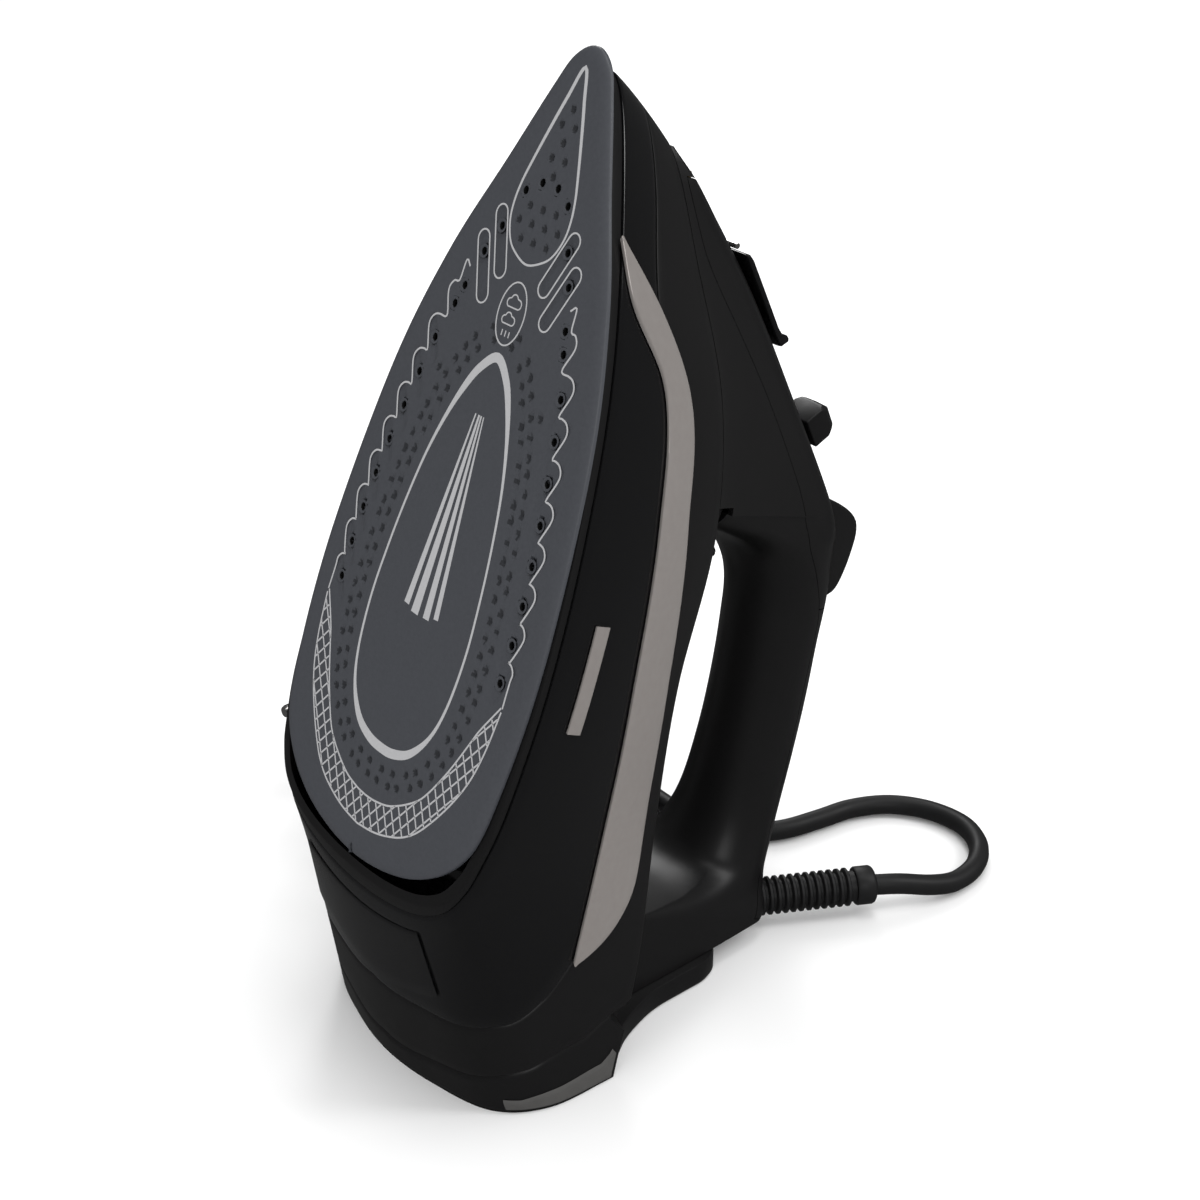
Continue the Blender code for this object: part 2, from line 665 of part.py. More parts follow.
def guard_point(along):
    dx, dy = guard_direction()
    return lean_point(GUARD_START[0] + dx * along, GUARD_START[1] + dy * along, GUARD_HEIGHT)


def guard_frame():
    """Empty at the guard's visible start, its Z along the guard."""
    frame = bpy.data.objects.new("guard_frame", None)
    PARTS.objects.link(frame)
    frame.parent = floor_frame
    frame.location = (GUARD_START[0] * MM, GUARD_START[1] * MM, GUARD_HEIGHT * MM)
    frame.rotation_euler = (-math.pi / 2, 0, -GUARD_TURN)
    return frame


def ridge_turn():
    """Turn that points a piece's Y away from the ridge and its Z along it, towards the nose."""
    return (RIDGE_SLOPE, 0, 0)


def make_handle():
    """Handle shell, the cover over the hood and the cover along the grip."""
    hollow_z = [205, 200, 190, 178, 166, 154, 144, 134, 126, 120, 118, 116, 114, 112, 109, 106, 102, 97, 90,
                80, 68, 56, 44, 32, 20, 10, 3, -1, -4, -6.5, -8.5, -11, -15, -21, -28, -36, -41]
    hollow = as_cutter(make_handle_solid("handle_hollow", hollow_z, 2.6, 8.0))
    slot = as_cutter(box("dial_slot", (90, 13.4, 41.2), (0, 66.6, 103.9)))
    disc = as_cutter(rod("dial_space", DIAL_R + 0.5, 7.6, (0, 69.6, DIAL_Z), turn=UPRIGHT, sides=48))
    below = []
    for back, height in ((40, -30), (190, -30), (190, 8.2), (40, 8.2)):
        point = lean_point(0, back, height)
        below.append((point.y, point.z))
    heel_side = side_prism("below_tail", below)
    above = side_prism("above_parting", [(400, -12), (400, 209.5)] + parting(0)[::-1])
    upper = side_prism("cover_region", [(400, -12 + GAP), (400, 209.5 - GAP)] + parting(GAP, GAP)[::-1])
    hole = rod("guard_hole", 7.1, 50, (0, 0, 8), turn=(0, 0, 0), parent=GUARD, sides=20)
    hole = as_cutter(hole)

    shell = make_handle_solid("handle_shell", HANDLE_Z)
    for cutter in (hollow, slot, disc, heel_side, above, hole):
        cut(shell, cutter)

    front = make_handle_solid("front_top_cover", [z for z in HANDLE_Z if z > 90])
    cut(front, upper, "INTERSECT")
    cut(front, hollow)
    rear = make_handle_solid("grip_top_cover", [91.6] + [z for z in HANDLE_Z if z < 90])
    cut(rear, upper, "INTERSECT")
    cut(rear, hollow)
    cut(rear, heel_side)
    cut(rear, hole)

    openings = [
        box("lid_mouth", (13, 26, 17), (0, 84, 180), turn=ridge_turn()),
        box("slider_slot", (5, 24, 16), (0, SLIDER_AT[0], SLIDER_AT[1]), turn=ridge_turn()),
        box("button_well", (19.4, 34, 33.2), (0, 146, BUTTON_Z)),
        rod("pin_groove", 1.4, 14, (0, LID_HINGE[0] - 0.6, LID_HINGE[1] + 0.4), turn=ACROSS),
    ]
    for opening in openings:
        cut(front, as_cutter(opening))
    nozzle_hole = as_cutter(rod("nozzle_hole", 2.7, 20, (0, NOZZLE_Y, 208)))
    cut(shell, nozzle_hole)
    cut(front, nozzle_hole)
    return shell


GUARD = guard_frame()


def make_lid():
    """Filler lid, its hinge pin and the funnel that leads down to the tank."""
    hinge_y, hinge_z = LID_HINGE
    turn = ridge_turn()

    def build(bm):
        bmesh.ops.create_cube(bm, size=1)
        bmesh.ops.scale(bm, vec=(16.5, 1.9, 35), verts=bm.verts)
        bmesh.ops.translate(bm, vec=(0, 1.6, -20.2), verts=bm.verts)
    lid = bevelled(add_mesh("filler_lid", build, GLOSS, at=(0, hinge_y, hinge_z), turn=turn), 0.7)
    rod("lid_hinge_pin", 0.9, 13, (0, hinge_y - 0.6, hinge_z + 0.4), STEEL, ACROSS, sides=10)
    turned("filler_funnel", [(5.4, 0), (6.6, 0), (6.6, 46), (5.4, 46)], NATURAL, (0, 22, FILLER_Z), UPRIGHT, steps=16)
    return lid


def make_slider():
    """Steam slider on the ridge and the valve rod that it works."""
    y, z = SLIDER_AT

    def build_knob(bm):
        profile = [(1.8, -5.4), (1.8, 2.2), (6.2, 2.2), (6.2, 10.6), (5.2, 11.8), (0, 12.0)]
        sections = []
        for z_end in (-5.2, -4.2, 3.6, 5.2):
            height_cut = -1.8 if z_end < 0 else 0
            sections.append([Vector((x, yy + (height_cut if yy > 9 else 0), z_end)) for x, yy in profile])
        rows = skin(bm, sections)
        caps = [bm.verts.new((0, rows[0][0].co.y, rows[0][0].co.z)), bm.verts.new((0, rows[-1][0].co.y, rows[-1][0].co.z))]
        bm.faces.new([caps[0]] + rows[0])
        bm.faces.new([caps[1]] + rows[-1])
        line = [caps[0]] + [bm.verts.new((0, r[0].co.y, r[0].co.z)) for r in rows[1:-1]] + [caps[1]]
        for i in range(len(rows) - 1):
            bm.faces.new((line[i], line[i + 1], rows[i + 1][0], rows[i][0]))
    knob = mirrored(add_mesh("steam_slider", build_knob, SATIN, at=(0, y, z), turn=ridge_turn()))
    rod("drip_valve_rod", 1.3, 78, (0, 18.3 + 39, VALVE_Z), STEEL, UPRIGHT, sides=10)
    return knob


def make_button(name, sign):
    """Thumb button with its plunger."""
    def build(bm):
        outline = [(-16, -5), (-16, 4.3), (-13, 7.8), (-6, 9.3), (3, 9.3), (8, 8.3), (11.5, 5.8), (14.2, 0), (16, -8), (16, -12)]
        inner, outer = 0.25, 8.9
        left = [Vector((sign * inner, y, z)) for z, y in outline]
        edge = [Vector((sign * (outer - 1), y, z)) for z, y in outline]
        right = [Vector((sign * outer, y - 0.8, z * 0.97)) for z, y in outline]
        rows = skin(bm, [left, edge, right], closed=True)
        bm.faces.new(rows[0])
        bm.faces.new(rows[-1][::-1])
    return add_mesh(name, build, SATIN, at=(0, 147.2, BUTTON_Z))


def make_pump(name, sign, z):
    """Pump barrel with an open top; the button's plunger works in it."""
    profile = [(2.6, 1.4), (2.6, 19), (4.4, 19), (4.4, 0), (0.6, 0), (0.6, 1.4)]
    return turned(name, profile, NATURAL, (sign * PUMP_X, 114, z), UPRIGHT, steps=14)


def make_dial():
    """Temperature dial under the handle: ribbed disc, finger tab and centre hub."""
    def build(bm):
        count = 48
        tab_from, tab_to = math.radians(-38), math.radians(-20)
        rings = []
        for y in (DIAL_LOW, DIAL_HIGH):
            ring = []
            for i in range(count):
                angle = 2 * math.pi * i / count
                wrapped = angle - 2 * math.pi if angle > math.pi else angle
                radius = DIAL_R
                if tab_from <= wrapped <= tab_to:
                    radius = DIAL_R + DIAL_TAB
                ring.append(Vector((radius * math.cos(angle), y, radius * math.sin(angle))))
            rings.append(ring)
        rows = skin(bm, rings, closed=True)
        bm.faces.new(rows[0])
        bm.faces.new(rows[1][::-1])
    dial = add_mesh("temperature_dial", build, SATIN, at=(0, 0, DIAL_Z))
    rod("thermostat_spindle", 2.2, 50.5, (0, 15.6 + 25.25, DIAL_Z), BRASS, UPRIGHT, sides=12)
    return dial


def make_guard():
    """Ribbed cord guard that turns in the tail, with its collar."""
    profile = [(4.0, -14), (6.6, -14), (6.6, -11.5), (5.0, -11)]
    ribs = 9
    pitch = (GUARD_LENGTH - 8) / ribs
    for i in range(ribs):
        z = 0.5 + i * pitch
        profile += [(5.2, z), (6.5, z + pitch * 0.25), (6.5, z + pitch * 0.65), (5.2, z + pitch * 0.9)]
    end = GUARD_LENGTH
    profile += [(5.4, end - 6.6), (6.6, end - 6), (6.6, end - 1.2), (5.8, end), (4.0, end)]
    return turned("cord_guard", profile, RUBBER, parent=GUARD, steps=16)


def make_cord():
    """Cord on the floor, its coil, the tie and the moulded plug with two pins."""
    pipe("power_cord", smooth_path(CORD_ROUTE, 3), CORD_D, RUBBER, floor_frame, 2)
    cx, cy = COIL_CENTRE
    half = CORD_D / 2
    inner, outer = COIL_RADII[0] - half, COIL_RADII[1] + half
    top = COIL_LAYERS * CORD_D + GAP
    step = outer - CORD_D - GAP
    turned("cord_coil", [(inner, GAP), (step, GAP), (step, 7.6), (outer, 7.6), (outer, top), (inner, top)],
           RUBBER, (cx, cy, 0), parent=floor_frame, steps=40)
    tie_profile = [(inner - 2.2, 0), (outer + 1.6, 0), (outer + 1.6, top + 1.6), (inner - 2.2, top + 1.6)]
    hole = [(inner - 0.5, 0.1), (outer + 0.4, 0.1), (outer + 0.4, top + 0.5), (inner - 0.5, top + 0.5)]

    def build_tie(bm):
        rings = []
        for y in (-3, 3):
            rings.append([bm.verts.new((-r, y, z)) for r, z in tie_profile])
            rings.append([bm.verts.new((-r, y, z)) for r, z in hole])
        out_a, in_a, out_b, in_b = rings
        for j in range(4):
            k = (j + 1) % 4
            bm.faces.new((out_a[j], out_a[k], out_b[k], out_b[j]))
            bm.faces.new((in_a[j], in_a[k], in_b[k], in_b[j]))
            bm.faces.new((out_a[j], out_a[k], in_a[k], in_a[j]))
            bm.faces.new((out_b[j], out_b[k], in_b[k], in_b[j]))
    add_mesh("cord_tie", build_tie, RUBBER, floor_frame, (cx, cy, 0), (0, 0, math.radians(160)))
    pipe("plug_lead", smooth_path(LEAD_ROUTE, 3), CORD_D, RUBBER, floor_frame, 2)
    plug_frame = bpy.data.objects.new("plug_frame", None)
    PARTS.objects.link(plug_frame)
    plug_frame.parent = floor_frame
    plug_frame.location = [value * MM for value in PLUG_AT]
    plug_frame.rotation_euler = (0, 0, PLUG_TURN)

    def build_plug(bm):
        sections = []
        for x, radius in ((-24, 4.6), (-14, 7), (-6, 12), (0, 15.2), (14, 15.8), (15.5, 15)):
            sections.append([Vector((x, radius * math.cos(a), min(radius, 15) * math.sin(a)))
                             for a in (2 * math.pi * i / 20 for i in range(20))])
        rows = skin(bm, sections, closed=True)
        bm.faces.new(rows[0])
        bm.faces.new(rows[-1][::-1])
    add_mesh("plug_body", build_plug, RUBBER, plug_frame)
    for name, y in (("plug_pin_left", 9.5), ("plug_pin_right", -9.5)):
        rod(name, 2.4, 19, (15.8 + 9.5, y, 0), STEEL, ACROSS, plug_frame, 12)


def make_feet():
    """Two wear pads at the heel's corners, let into the heel cover."""
    for name, sign in (("heel_pad_right", 1), ("heel_pad_left", -1)):
        def build(bm):
            sections = []
            for s, low in ((7.8, 78.0), (8.0, 74.5), (8.36, 67.5), (8.65, 61.8), (8.94, 56.5), (9.3, 51.5), (9.7, 47.3)):
                high = top_edge(s)[1] - 1.3
                low = min(low, high - 2)
                sections.append([side(s, y, inset) for y, inset in ((low, -0.7), (high, -0.7), (high, -0.3), (low, -0.3))])
            rows = skin(bm, [[Vector((sign * p.x, p.y, p.z)) for p in row] for row in sections], closed=True)
            bm.faces.new(rows[0])
            bm.faces.new(rows[-1][::-1])
        add_mesh(name, build, PAD)


def make_fixings():
    """Spray nozzle, hoses and the screws that hold the handle to the body."""
    turned("spray_nozzle", [(0.7, 0), (2.3, 0), (2.3, 7), (0.7, 7)], BRASS, (0, NOZZLE_Y, 204), steps=12)
    pipe("spray_hose", smooth_path([(5.6, 113.2, 112), (6, 106, 117), (8.6, 98, 132), (8.8, 82, 160), (8.4, 68, 178),
                                     (6.4, 58, 188), (3, 50, 197), (0.4, 46, 202.5)], 3), 2.4,
         NATURAL, lean, 1)
    pipe("burst_hose", smooth_path([(-5.6, 113.2, 112), (-6, 106, 117), (-9, 98, 130), (-10, 84, 146)], 3), 2.4,
         NATURAL, lean, 1)
    for name, (deck, z) in (("handle_screw_front", SCREW_FRONT), ("handle_screw_rear", SCREW_REAR)):
        turned(name, [(0, -10), (1.7, -10), (1.7, 0), (3.2, 0), (3.2, 2), (0, 2)], STEEL, (0, deck, z), UPRIGHT, steps=12)


make_soleplate()
make_heating()
make_skirt()
make_tank()
make_upper_shell()
make_trim(1, "trim_strip_right")
make_trim(-1, "trim_strip_left")
make_badge()
make_service_panel()
make_heel_cover()
make_feet()
make_handle()
make_lid()
make_slider()
make_button("spray_button", 1)
make_button("burst_button", -1)
make_pump("spray_pump", 1, PUMP_Z)
make_pump("burst_pump", -1, PUMP_Z)
for plunger, side_sign in (("spray_plunger", 1), ("burst_plunger", -1)):
    rod(plunger, 2.1, 13, (side_sign * PUMP_X, 131.1, PUMP_Z), STEEL, UPRIGHT, sides=12)
make_dial()
make_guard()
make_cord()
make_fixings()
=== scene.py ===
"""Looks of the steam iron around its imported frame.

The iron's own frame is in millimetres: X across, Y from the sole's face (0) to the handle,
Z from the sole's rear edge (0) to its tip.  TO_WORLD leans it back onto its heel.
"""
import json
import math

import bmesh
import bpy
from mathutils import Matrix, Vector


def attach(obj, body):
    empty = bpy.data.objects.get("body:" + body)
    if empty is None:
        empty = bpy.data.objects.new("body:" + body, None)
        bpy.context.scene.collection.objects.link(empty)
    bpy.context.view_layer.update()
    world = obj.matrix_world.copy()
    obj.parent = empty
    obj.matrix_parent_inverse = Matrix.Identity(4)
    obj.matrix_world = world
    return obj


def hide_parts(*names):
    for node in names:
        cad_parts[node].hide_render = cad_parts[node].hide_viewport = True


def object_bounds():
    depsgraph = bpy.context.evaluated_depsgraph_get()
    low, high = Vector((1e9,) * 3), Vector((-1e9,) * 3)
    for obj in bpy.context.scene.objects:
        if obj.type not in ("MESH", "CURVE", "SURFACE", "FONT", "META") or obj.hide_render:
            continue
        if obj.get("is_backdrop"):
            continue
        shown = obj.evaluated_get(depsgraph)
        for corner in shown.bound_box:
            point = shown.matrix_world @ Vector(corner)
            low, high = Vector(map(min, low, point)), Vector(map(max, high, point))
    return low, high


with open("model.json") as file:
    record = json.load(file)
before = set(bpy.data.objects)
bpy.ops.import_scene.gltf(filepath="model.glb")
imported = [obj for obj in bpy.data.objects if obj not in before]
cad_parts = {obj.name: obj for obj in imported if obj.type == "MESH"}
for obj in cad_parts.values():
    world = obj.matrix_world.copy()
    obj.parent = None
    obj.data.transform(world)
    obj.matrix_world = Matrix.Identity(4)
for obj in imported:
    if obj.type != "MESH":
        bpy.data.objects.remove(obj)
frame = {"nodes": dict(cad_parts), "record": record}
CAD_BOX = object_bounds()

MM = 0.001
GAP = 0.3                      # clearance between touching pieces
LEAN = math.radians(22.1)      # how far the iron leans back when it stands on its heel
REST = 76.9                    # height of the frame's origin above the floor
DEPTH_SHIFT = -94.6            # moves the iron along world Y so that its box is centred

SOLE_THICKNESS = 2.3
TANK_WALL, SHELL_WALL, COVER_WALL, HANDLE_WALL = 2.4, 2.2, 2.5, 2.6
BASE_Y = 2.5                   # where the housing's side starts above the sole's face
FLOOR_LOW, FLOOR_HIGH = 15.4, 17.0   # the water tank's floor
DECK_END = 7.33                # rib where the deck stops and the heel cover starts
CORNER = 8                     # rib at the heel's corner

# Half width and Z of each point of the sole's outline, tip to rear.
SOLE = [(0, 235), (7.4, 231.2), (12.8, 221.5), (22.6, 200), (36.4, 170), (46.8, 134), (52.9, 82),
        (51.9, 43), (46.4, 20), (28, 5.2), (0, -0.3)]

# Ribs of the housing, nose to rear: (x, z) at the sole, then (x, y, z) at the top edge.
RIBS = [((0, 232), (0, 33.2, 217.5)), ((9, 224), (6.5, 36.6, 210.5)), ((23.5, 194), (16, 44.8, 188.5)),
        ((39.5, 157), (28.5, 58.5, 154)), ((50, 118), (37, 65, 116)), ((54.8, 75), (40.5, 66, 72)),
        ((54, 38), (40.5, 75, 30)), ((50.5, 19), (47.5, 79.5, -12)), ((47.5, 11), (51.5, 81.2, -50)),
        ((42, 4), (51, 60, -58.6)), ((32, -1), (41.5, 46.2, -64.2)), ((17.5, -4), (21, 39.8, -66.8)),
        ((0, -5), (0, 37.4, -67.8))]
LAST = len(RIBS) - 1

# Seams on the housing's side: height y at rib s.
SKIRT_SEAM = [(0, 8.5), (2, 8.5), (3.1, 6.8), (4.2, 5.2), (12, 5.2)]
TANK_SEAM = [(0, 19.5), (1.5, 22.8), (2.5, 23.8), (2.95, 31), (3.5, 37.5), (4.3, 42), (5.3, 51),
             (6.3, 57.5), (6.8, 57.8), (7.4, 51), (8.4, 42.6), (9.4, 32.2), (10.5, 25.2), (12, 22.3)]
COVER_SEAM = [(7.3, 82.9), (7.6, 73), (8.4, 58), (8.9, 50.5), (9.7, 41.5), (10.6, 36), (12, 33.4)]
STRIP_LOW = [(2.12, 7), (2.54, 12.5), (2.94, 25.5), (3.3, 30), (3.9, 32.2), (4.9, 38),
             (5.7, 44), (6.4, 47.6), (7.36, 51)]
STRIP_HIGH = [(2.12, 7.8), (2.54, 25), (2.94, 37.2), (3.3, 42.6), (3.9, 45.8), (4.9, 56.5),
              (5.7, 64.5), (6.4, 69), (6.75, 65), (7.36, 51.8)]

# Handle unit: z, underside y, half width at the underside, top y, half width near the top.
HANDLE = [(216, 34, 6.5, 36, 3), (208, 37, 9, 48.5, 7), (190, 43.5, 15.5, 71.5, 10),
          (175, 49.5, 20.5, 88, 12), (154, 59.5, 27.5, 109.5, 14), (140, 65, 30.5, 124, 15),
          (126, 65, 34, 137.5, 16), (117, 68, 29, 144.5, 16.2), (113, 84, 22, 147, 16.2),
          (110, 98, 18.5, 149, 16.2), (104, 109, 17, 151.5, 16.2), (94, 117.5, 16, 154, 16),
          (80, 122, 15.5, 156.5, 15.5), (60, 126.5, 15.5, 160.3, 15.5), (40, 129.5, 15.8, 163, 15.8),
          (20, 131, 17, 164.3, 17), (8, 129.5, 19.5, 164, 19.5), (0, 125, 22.5, 163.2, 22),
          (-5, 115, 25, 162, 24), (-8.5, 98, 28, 161, 25.5), (-11, 81.5, 30, 160, 26.5),
          (-20, 83.4, 32, 157, 28), (-30, 84, 32.5, 150, 29), (-42, 84.5, 32.5, 140, 29.5)]
ROUND_FROM, ROUND_TO = 122, 104      # between these z the hood turns into the round grip
TAIL_FROM, TAIL_TO = 4, -10          # and here the grip turns into the square tail

# Parting line between the handle shell and the covers on top of it, as y at z.
COVER_LINE = [(-12, 149), (0, 152), (20, 154), (42, 152.5), (65, 149), (88, 144.5), (104, 134),
              (118, 120.5), (132, 109.5), (154, 88.5), (172, 69), (182, 58), (190, 50.5), (200, 44.8),
              (209, 40)]

RIDGE_SLOPE = math.atan2(1.07, 1)    # how steeply the hood's ridge climbs from the sole
DIAL_Z, DIAL_R = 124.0, 29.2
DIAL_TAB = 5.6
DIAL_LOW, DIAL_HIGH = 66.8, 72.4
SLIDER_AT = (121.2, 143.2)           # y, z of the steam slider on the ridge
LID_HINGE = (67.6, 194.2)            # y, z of the lid's hinge
BUTTON_Z = 110.2
NOZZLE_Y = 44.6

# Cord guard and cord, in floor coordinates: x, distance back, height above the floor.
GUARD_START = (15.6, 139.8)
GUARD_TURN = math.radians(26.8)      # the guard is swung towards +X
GUARD_LENGTH = 43.6
GUARD_HEIGHT = 9.4
CORD_D = 7.0
COIL_CENTRE = (-92.0, 115.0)
COIL_RADII = (38.0, 45.0)
COIL_LAYERS = 3
CORD_ROUTE = [(35.9, 178.8, 9.4), (40, 187, 8.6), (44.2, 198, 5.8), (45.6, 208, 4.0), (43, 220, 3.8),
              (35, 230, 3.8), (23, 235, 3.8), (9, 232.5, 3.8), (-2.5, 224, 3.8), (-9, 211, 3.8),
              (-11, 197, 3.8), (-14, 182, 3.8), (-22, 169, 3.8), (-35, 161.3, 3.8), (-50, 160, 3.8),
              (-70, 160, 3.8), (-91.5, 160, 3.8)]
LEAD_ROUTE = [(-100, 153.2, 25.2), (-114, 150, 26.5), (-128, 141.5, 31), (-135.5, 129, 35.5),
              (-136, 117.5, 37)]
PLUG_AT = (-134.0, 92.0, 37.0)
PLUG_TURN = math.radians(-86)



def blend(p, q, r, u, t):
    """Catmull-Rom value between q and r."""
    return 0.5 * (2 * q + (r - p) * t + (2 * p - 5 * q + 4 * r - u) * t * t
                  + (3 * q - p - 3 * r + u) * t ** 3)


def spline(points, s, mirrored=(True, True)):
    """Smooth curve through points at whole numbers s; a mirrored end continues across x = 0."""
    last = len(points) - 1
    i = min(int(max(s, 0)), last - 1)

    def get(k):
        if k < 0:
            return mirror(points[-k]) if mirrored[0] else extend(points[0], points[1])
        if k > last:
            return mirror(points[2 * last - k]) if mirrored[1] else extend(points[last], points[last - 1])
        return points[k]

    near = [get(k) for k in (i - 1, i, i + 1, i + 2)]
    return tuple(blend(*values, s - i) for values in zip(*near))


def mirror(point):
    return (-point[0],) + tuple(point[1:])


def extend(end, inner):
    return tuple(2 * a - b for a, b in zip(end, inner))


def curve_value(table, x, column=1):
    """Smooth value of a table of (x, value ...) rows, rising or falling in x."""
    rows = table if table[0][0] < table[-1][0] else table[::-1]
    if x <= rows[0][0]:
        return rows[0][column]
    if x >= rows[-1][0]:
        return rows[-1][column]
    i = max(k for k in range(len(rows) - 1) if rows[k][0] <= x)
    (x0, y0), (x1, y1) = ((rows[k][0], rows[k][column]) for k in (i, i + 1))

    def slope(k):
        before, after = rows[max(k - 1, 0)], rows[min(k + 1, len(rows) - 1)]
        return (after[column] - before[column]) / (after[0] - before[0])

    t = (x - x0) / (x1 - x0)
    width = x1 - x0
    return ((2 * t ** 3 - 3 * t * t + 1) * y0 + (t ** 3 - 2 * t * t + t) * width * slope(i)
            + (3 * t * t - 2 * t ** 3) * y1 + (t ** 3 - t * t) * width * slope(i + 1))


def top_edge(s):
    """Top edge of the housing: along the deck, round the heel's corner, across the heel."""
    tops = [top for base, top in RIBS]
    if s <= CORNER:
        return spline(tops[:CORNER + 1], s, (True, False))
    return spline(tops[CORNER:], s - CORNER, (False, True))


def bulge(s):
    """How round a rib is: 2 on the sides, straight across the heel."""
    return 2.0 - 0.85 * min(max((s - 6.5) / 2.5, 0), 1)


def side(s, y, inset=0.0):
    """Point of the housing's side on rib s at height y, moved inwards by the inset."""
    bx, bz = spline([base for base, top in RIBS], s)
    tx, ty, tz = top_edge(s)
    rise = (y - BASE_Y) / (ty - BASE_Y)
    nose = 1 + 0.3 * max(0, 1 - s / 2)
    x = bx + (tx - bx) * max(rise, 0) ** bulge(s)
    z = bz + (tz - bz) * max(rise, 0) ** nose
    return Vector((x * (1 - inset / 54), y, 80 + (z - 80) * (1 - inset * 0.011)))


def stations(start, stop, step, extra=()):
    """Rib values from start to stop, with some values that must be among them."""
    count = max(1, round((stop - start) / step))
    values = [start + (stop - start) * i / count for i in range(count + 1)]
    kept = [v for v in values if all(abs(v - e) > step * 0.35 for e in extra)]
    return sorted(kept + list(extra))



TO_WORLD = (Matrix.Translation((0, DEPTH_SHIFT * MM, REST * MM)) @ Matrix.Rotation(-LEAN, 4, "X")
            @ Matrix.Scale(MM, 4))
FLOOR = Matrix.Translation((0, DEPTH_SHIFT * MM, 0)) @ Matrix.Scale(MM, 4)
UPRIGHT = Matrix.Rotation(-math.pi / 2, 4, "X")       # a turned piece's Z becomes the iron's +Y


CAMERA_AZIMUTH, CAMERA_ELEVATION = math.radians(52.612), math.radians(27.406)
CAMERA_AT = (0.45253, (DEPTH_SHIFT - 255.07) * MM, 0.42483)
CAMERA_LENS, CAMERA_SENSOR = 64.5, 36


def make_camera():
    """Camera at its viewing angle and distance, without shift or roll."""
    azimuth, elevation = CAMERA_AZIMUTH, CAMERA_ELEVATION
    forward = Vector((-math.sin(azimuth) * math.cos(elevation), math.cos(azimuth) * math.cos(elevation),
                      -math.sin(elevation)))
    right = forward.cross(Vector((0, 0, 1))).normalized()
    up = right.cross(forward)
    data = bpy.data.cameras.new("camera")
    data.lens = CAMERA_LENS
    data.sensor_width = CAMERA_SENSOR
    camera = bpy.data.objects.new("camera", data)
    bpy.context.scene.collection.objects.link(camera)
    turn = Matrix((right, up, -forward)).transposed().to_4x4()
    camera.matrix_world = Matrix.Translation(CAMERA_AT) @ turn
    bpy.context.scene.camera = camera


# ---------------------------------------------------------------- materials

def new_material(name, colour, roughness, metallic=0.0, specular=0.5):
    made = bpy.data.materials.new(name)
    made.use_nodes = True
    shader = made.node_tree.nodes["Principled BSDF"]
    shader.inputs["Base Color"].default_value = (*colour, 1)
    shader.inputs["Roughness"].default_value = roughness
    shader.inputs["Metallic"].default_value = metallic
    shader.inputs["Specular IOR Level"].default_value = specular
    return made


def noise(tree, scale, detail=2.0, roughness=0.5):
    """Noise in object space, at a scale in cycles per metre."""
    place = tree.nodes.new("ShaderNodeTexCoord")
    texture = tree.nodes.new("ShaderNodeTexNoise")
    texture.inputs["Scale"].default_value = scale
    texture.inputs["Detail"].default_value = detail
    texture.inputs["Roughness"].default_value = roughness
    tree.links.new(place.outputs["Object"], texture.inputs["Vector"])
    return texture.outputs["Fac"]


def spread(tree, value, low, high):
    """Maps a 0 to 1 value onto low to high."""
    node = tree.nodes.new("ShaderNodeMapRange")
    node.inputs["To Min"].default_value = low
    node.inputs["To Max"].default_value = high
    tree.links.new(value, node.inputs["Value"])
    return node.outputs["Result"]


def vary_roughness(made, scale, low, high):
    tree = made.node_tree
    shader = tree.nodes["Principled BSDF"]
    tree.links.new(spread(tree, noise(tree, scale, 4.0), low, high), shader.inputs["Roughness"])


def vary_colour(made, scale, dark, light):
    """Blends two colours by a noise."""
    tree = made.node_tree
    shader = tree.nodes["Principled BSDF"]
    mix = tree.nodes.new("ShaderNodeMix")
    mix.data_type = "RGBA"
    mix.inputs[6].default_value = (*dark, 1)
    mix.inputs[7].default_value = (*light, 1)
    tree.links.new(noise(tree, scale, 3.0), mix.inputs[0])
    tree.links.new(mix.outputs[2], shader.inputs["Base Color"])


def add_bump(made, scale, distance, detail=2.0):
    tree = made.node_tree
    shader = tree.nodes["Principled BSDF"]
    bump = tree.nodes.new("ShaderNodeBump")
    bump.inputs["Distance"].default_value = distance
    bump.inputs["Strength"].default_value = 1.0
    tree.links.new(noise(tree, scale, detail), bump.inputs["Height"])
    tree.links.new(bump.outputs["Normal"], shader.inputs["Normal"])


def slate_ceramic():
    """Ceramic coating on the sole: fine speckle, faint mottling."""
    made = new_material("slate_ceramic", (0.054, 0.058, 0.067), 0.42)
    vary_colour(made, 900, (0.047, 0.050, 0.059), (0.060, 0.064, 0.074))
    vary_roughness(made, 60, 0.36, 0.48)
    add_bump(made, 2500, 0.00002)
    return made


def gloss_black():
    """Polished black plastic with a trace of orange peel."""
    made = new_material("gloss_black", (0.0042, 0.0042, 0.0045), 0.1, specular=0.42)
    vary_roughness(made, 45, 0.07, 0.14)
    add_bump(made, 160, 0.000006, 0.0)
    return made


def charcoal_satin():
    """Charcoal plastic with a fine moulded grain."""
    made = new_material("charcoal_satin", (0.0066, 0.0064, 0.0067), 0.33, specular=0.36)
    vary_colour(made, 35, (0.0058, 0.0056, 0.0059), (0.0074, 0.0072, 0.0075))
    vary_roughness(made, 90, 0.32, 0.42)
    add_bump(made, 3200, 0.000012, 1.0)
    return made


def grey_pad():
    made = new_material("grey_pad", (0.070, 0.068, 0.065), 0.62)
    vary_colour(made, 300, (0.062, 0.060, 0.058), (0.078, 0.076, 0.073))
    add_bump(made, 2600, 0.00004, 2.0)
    return made


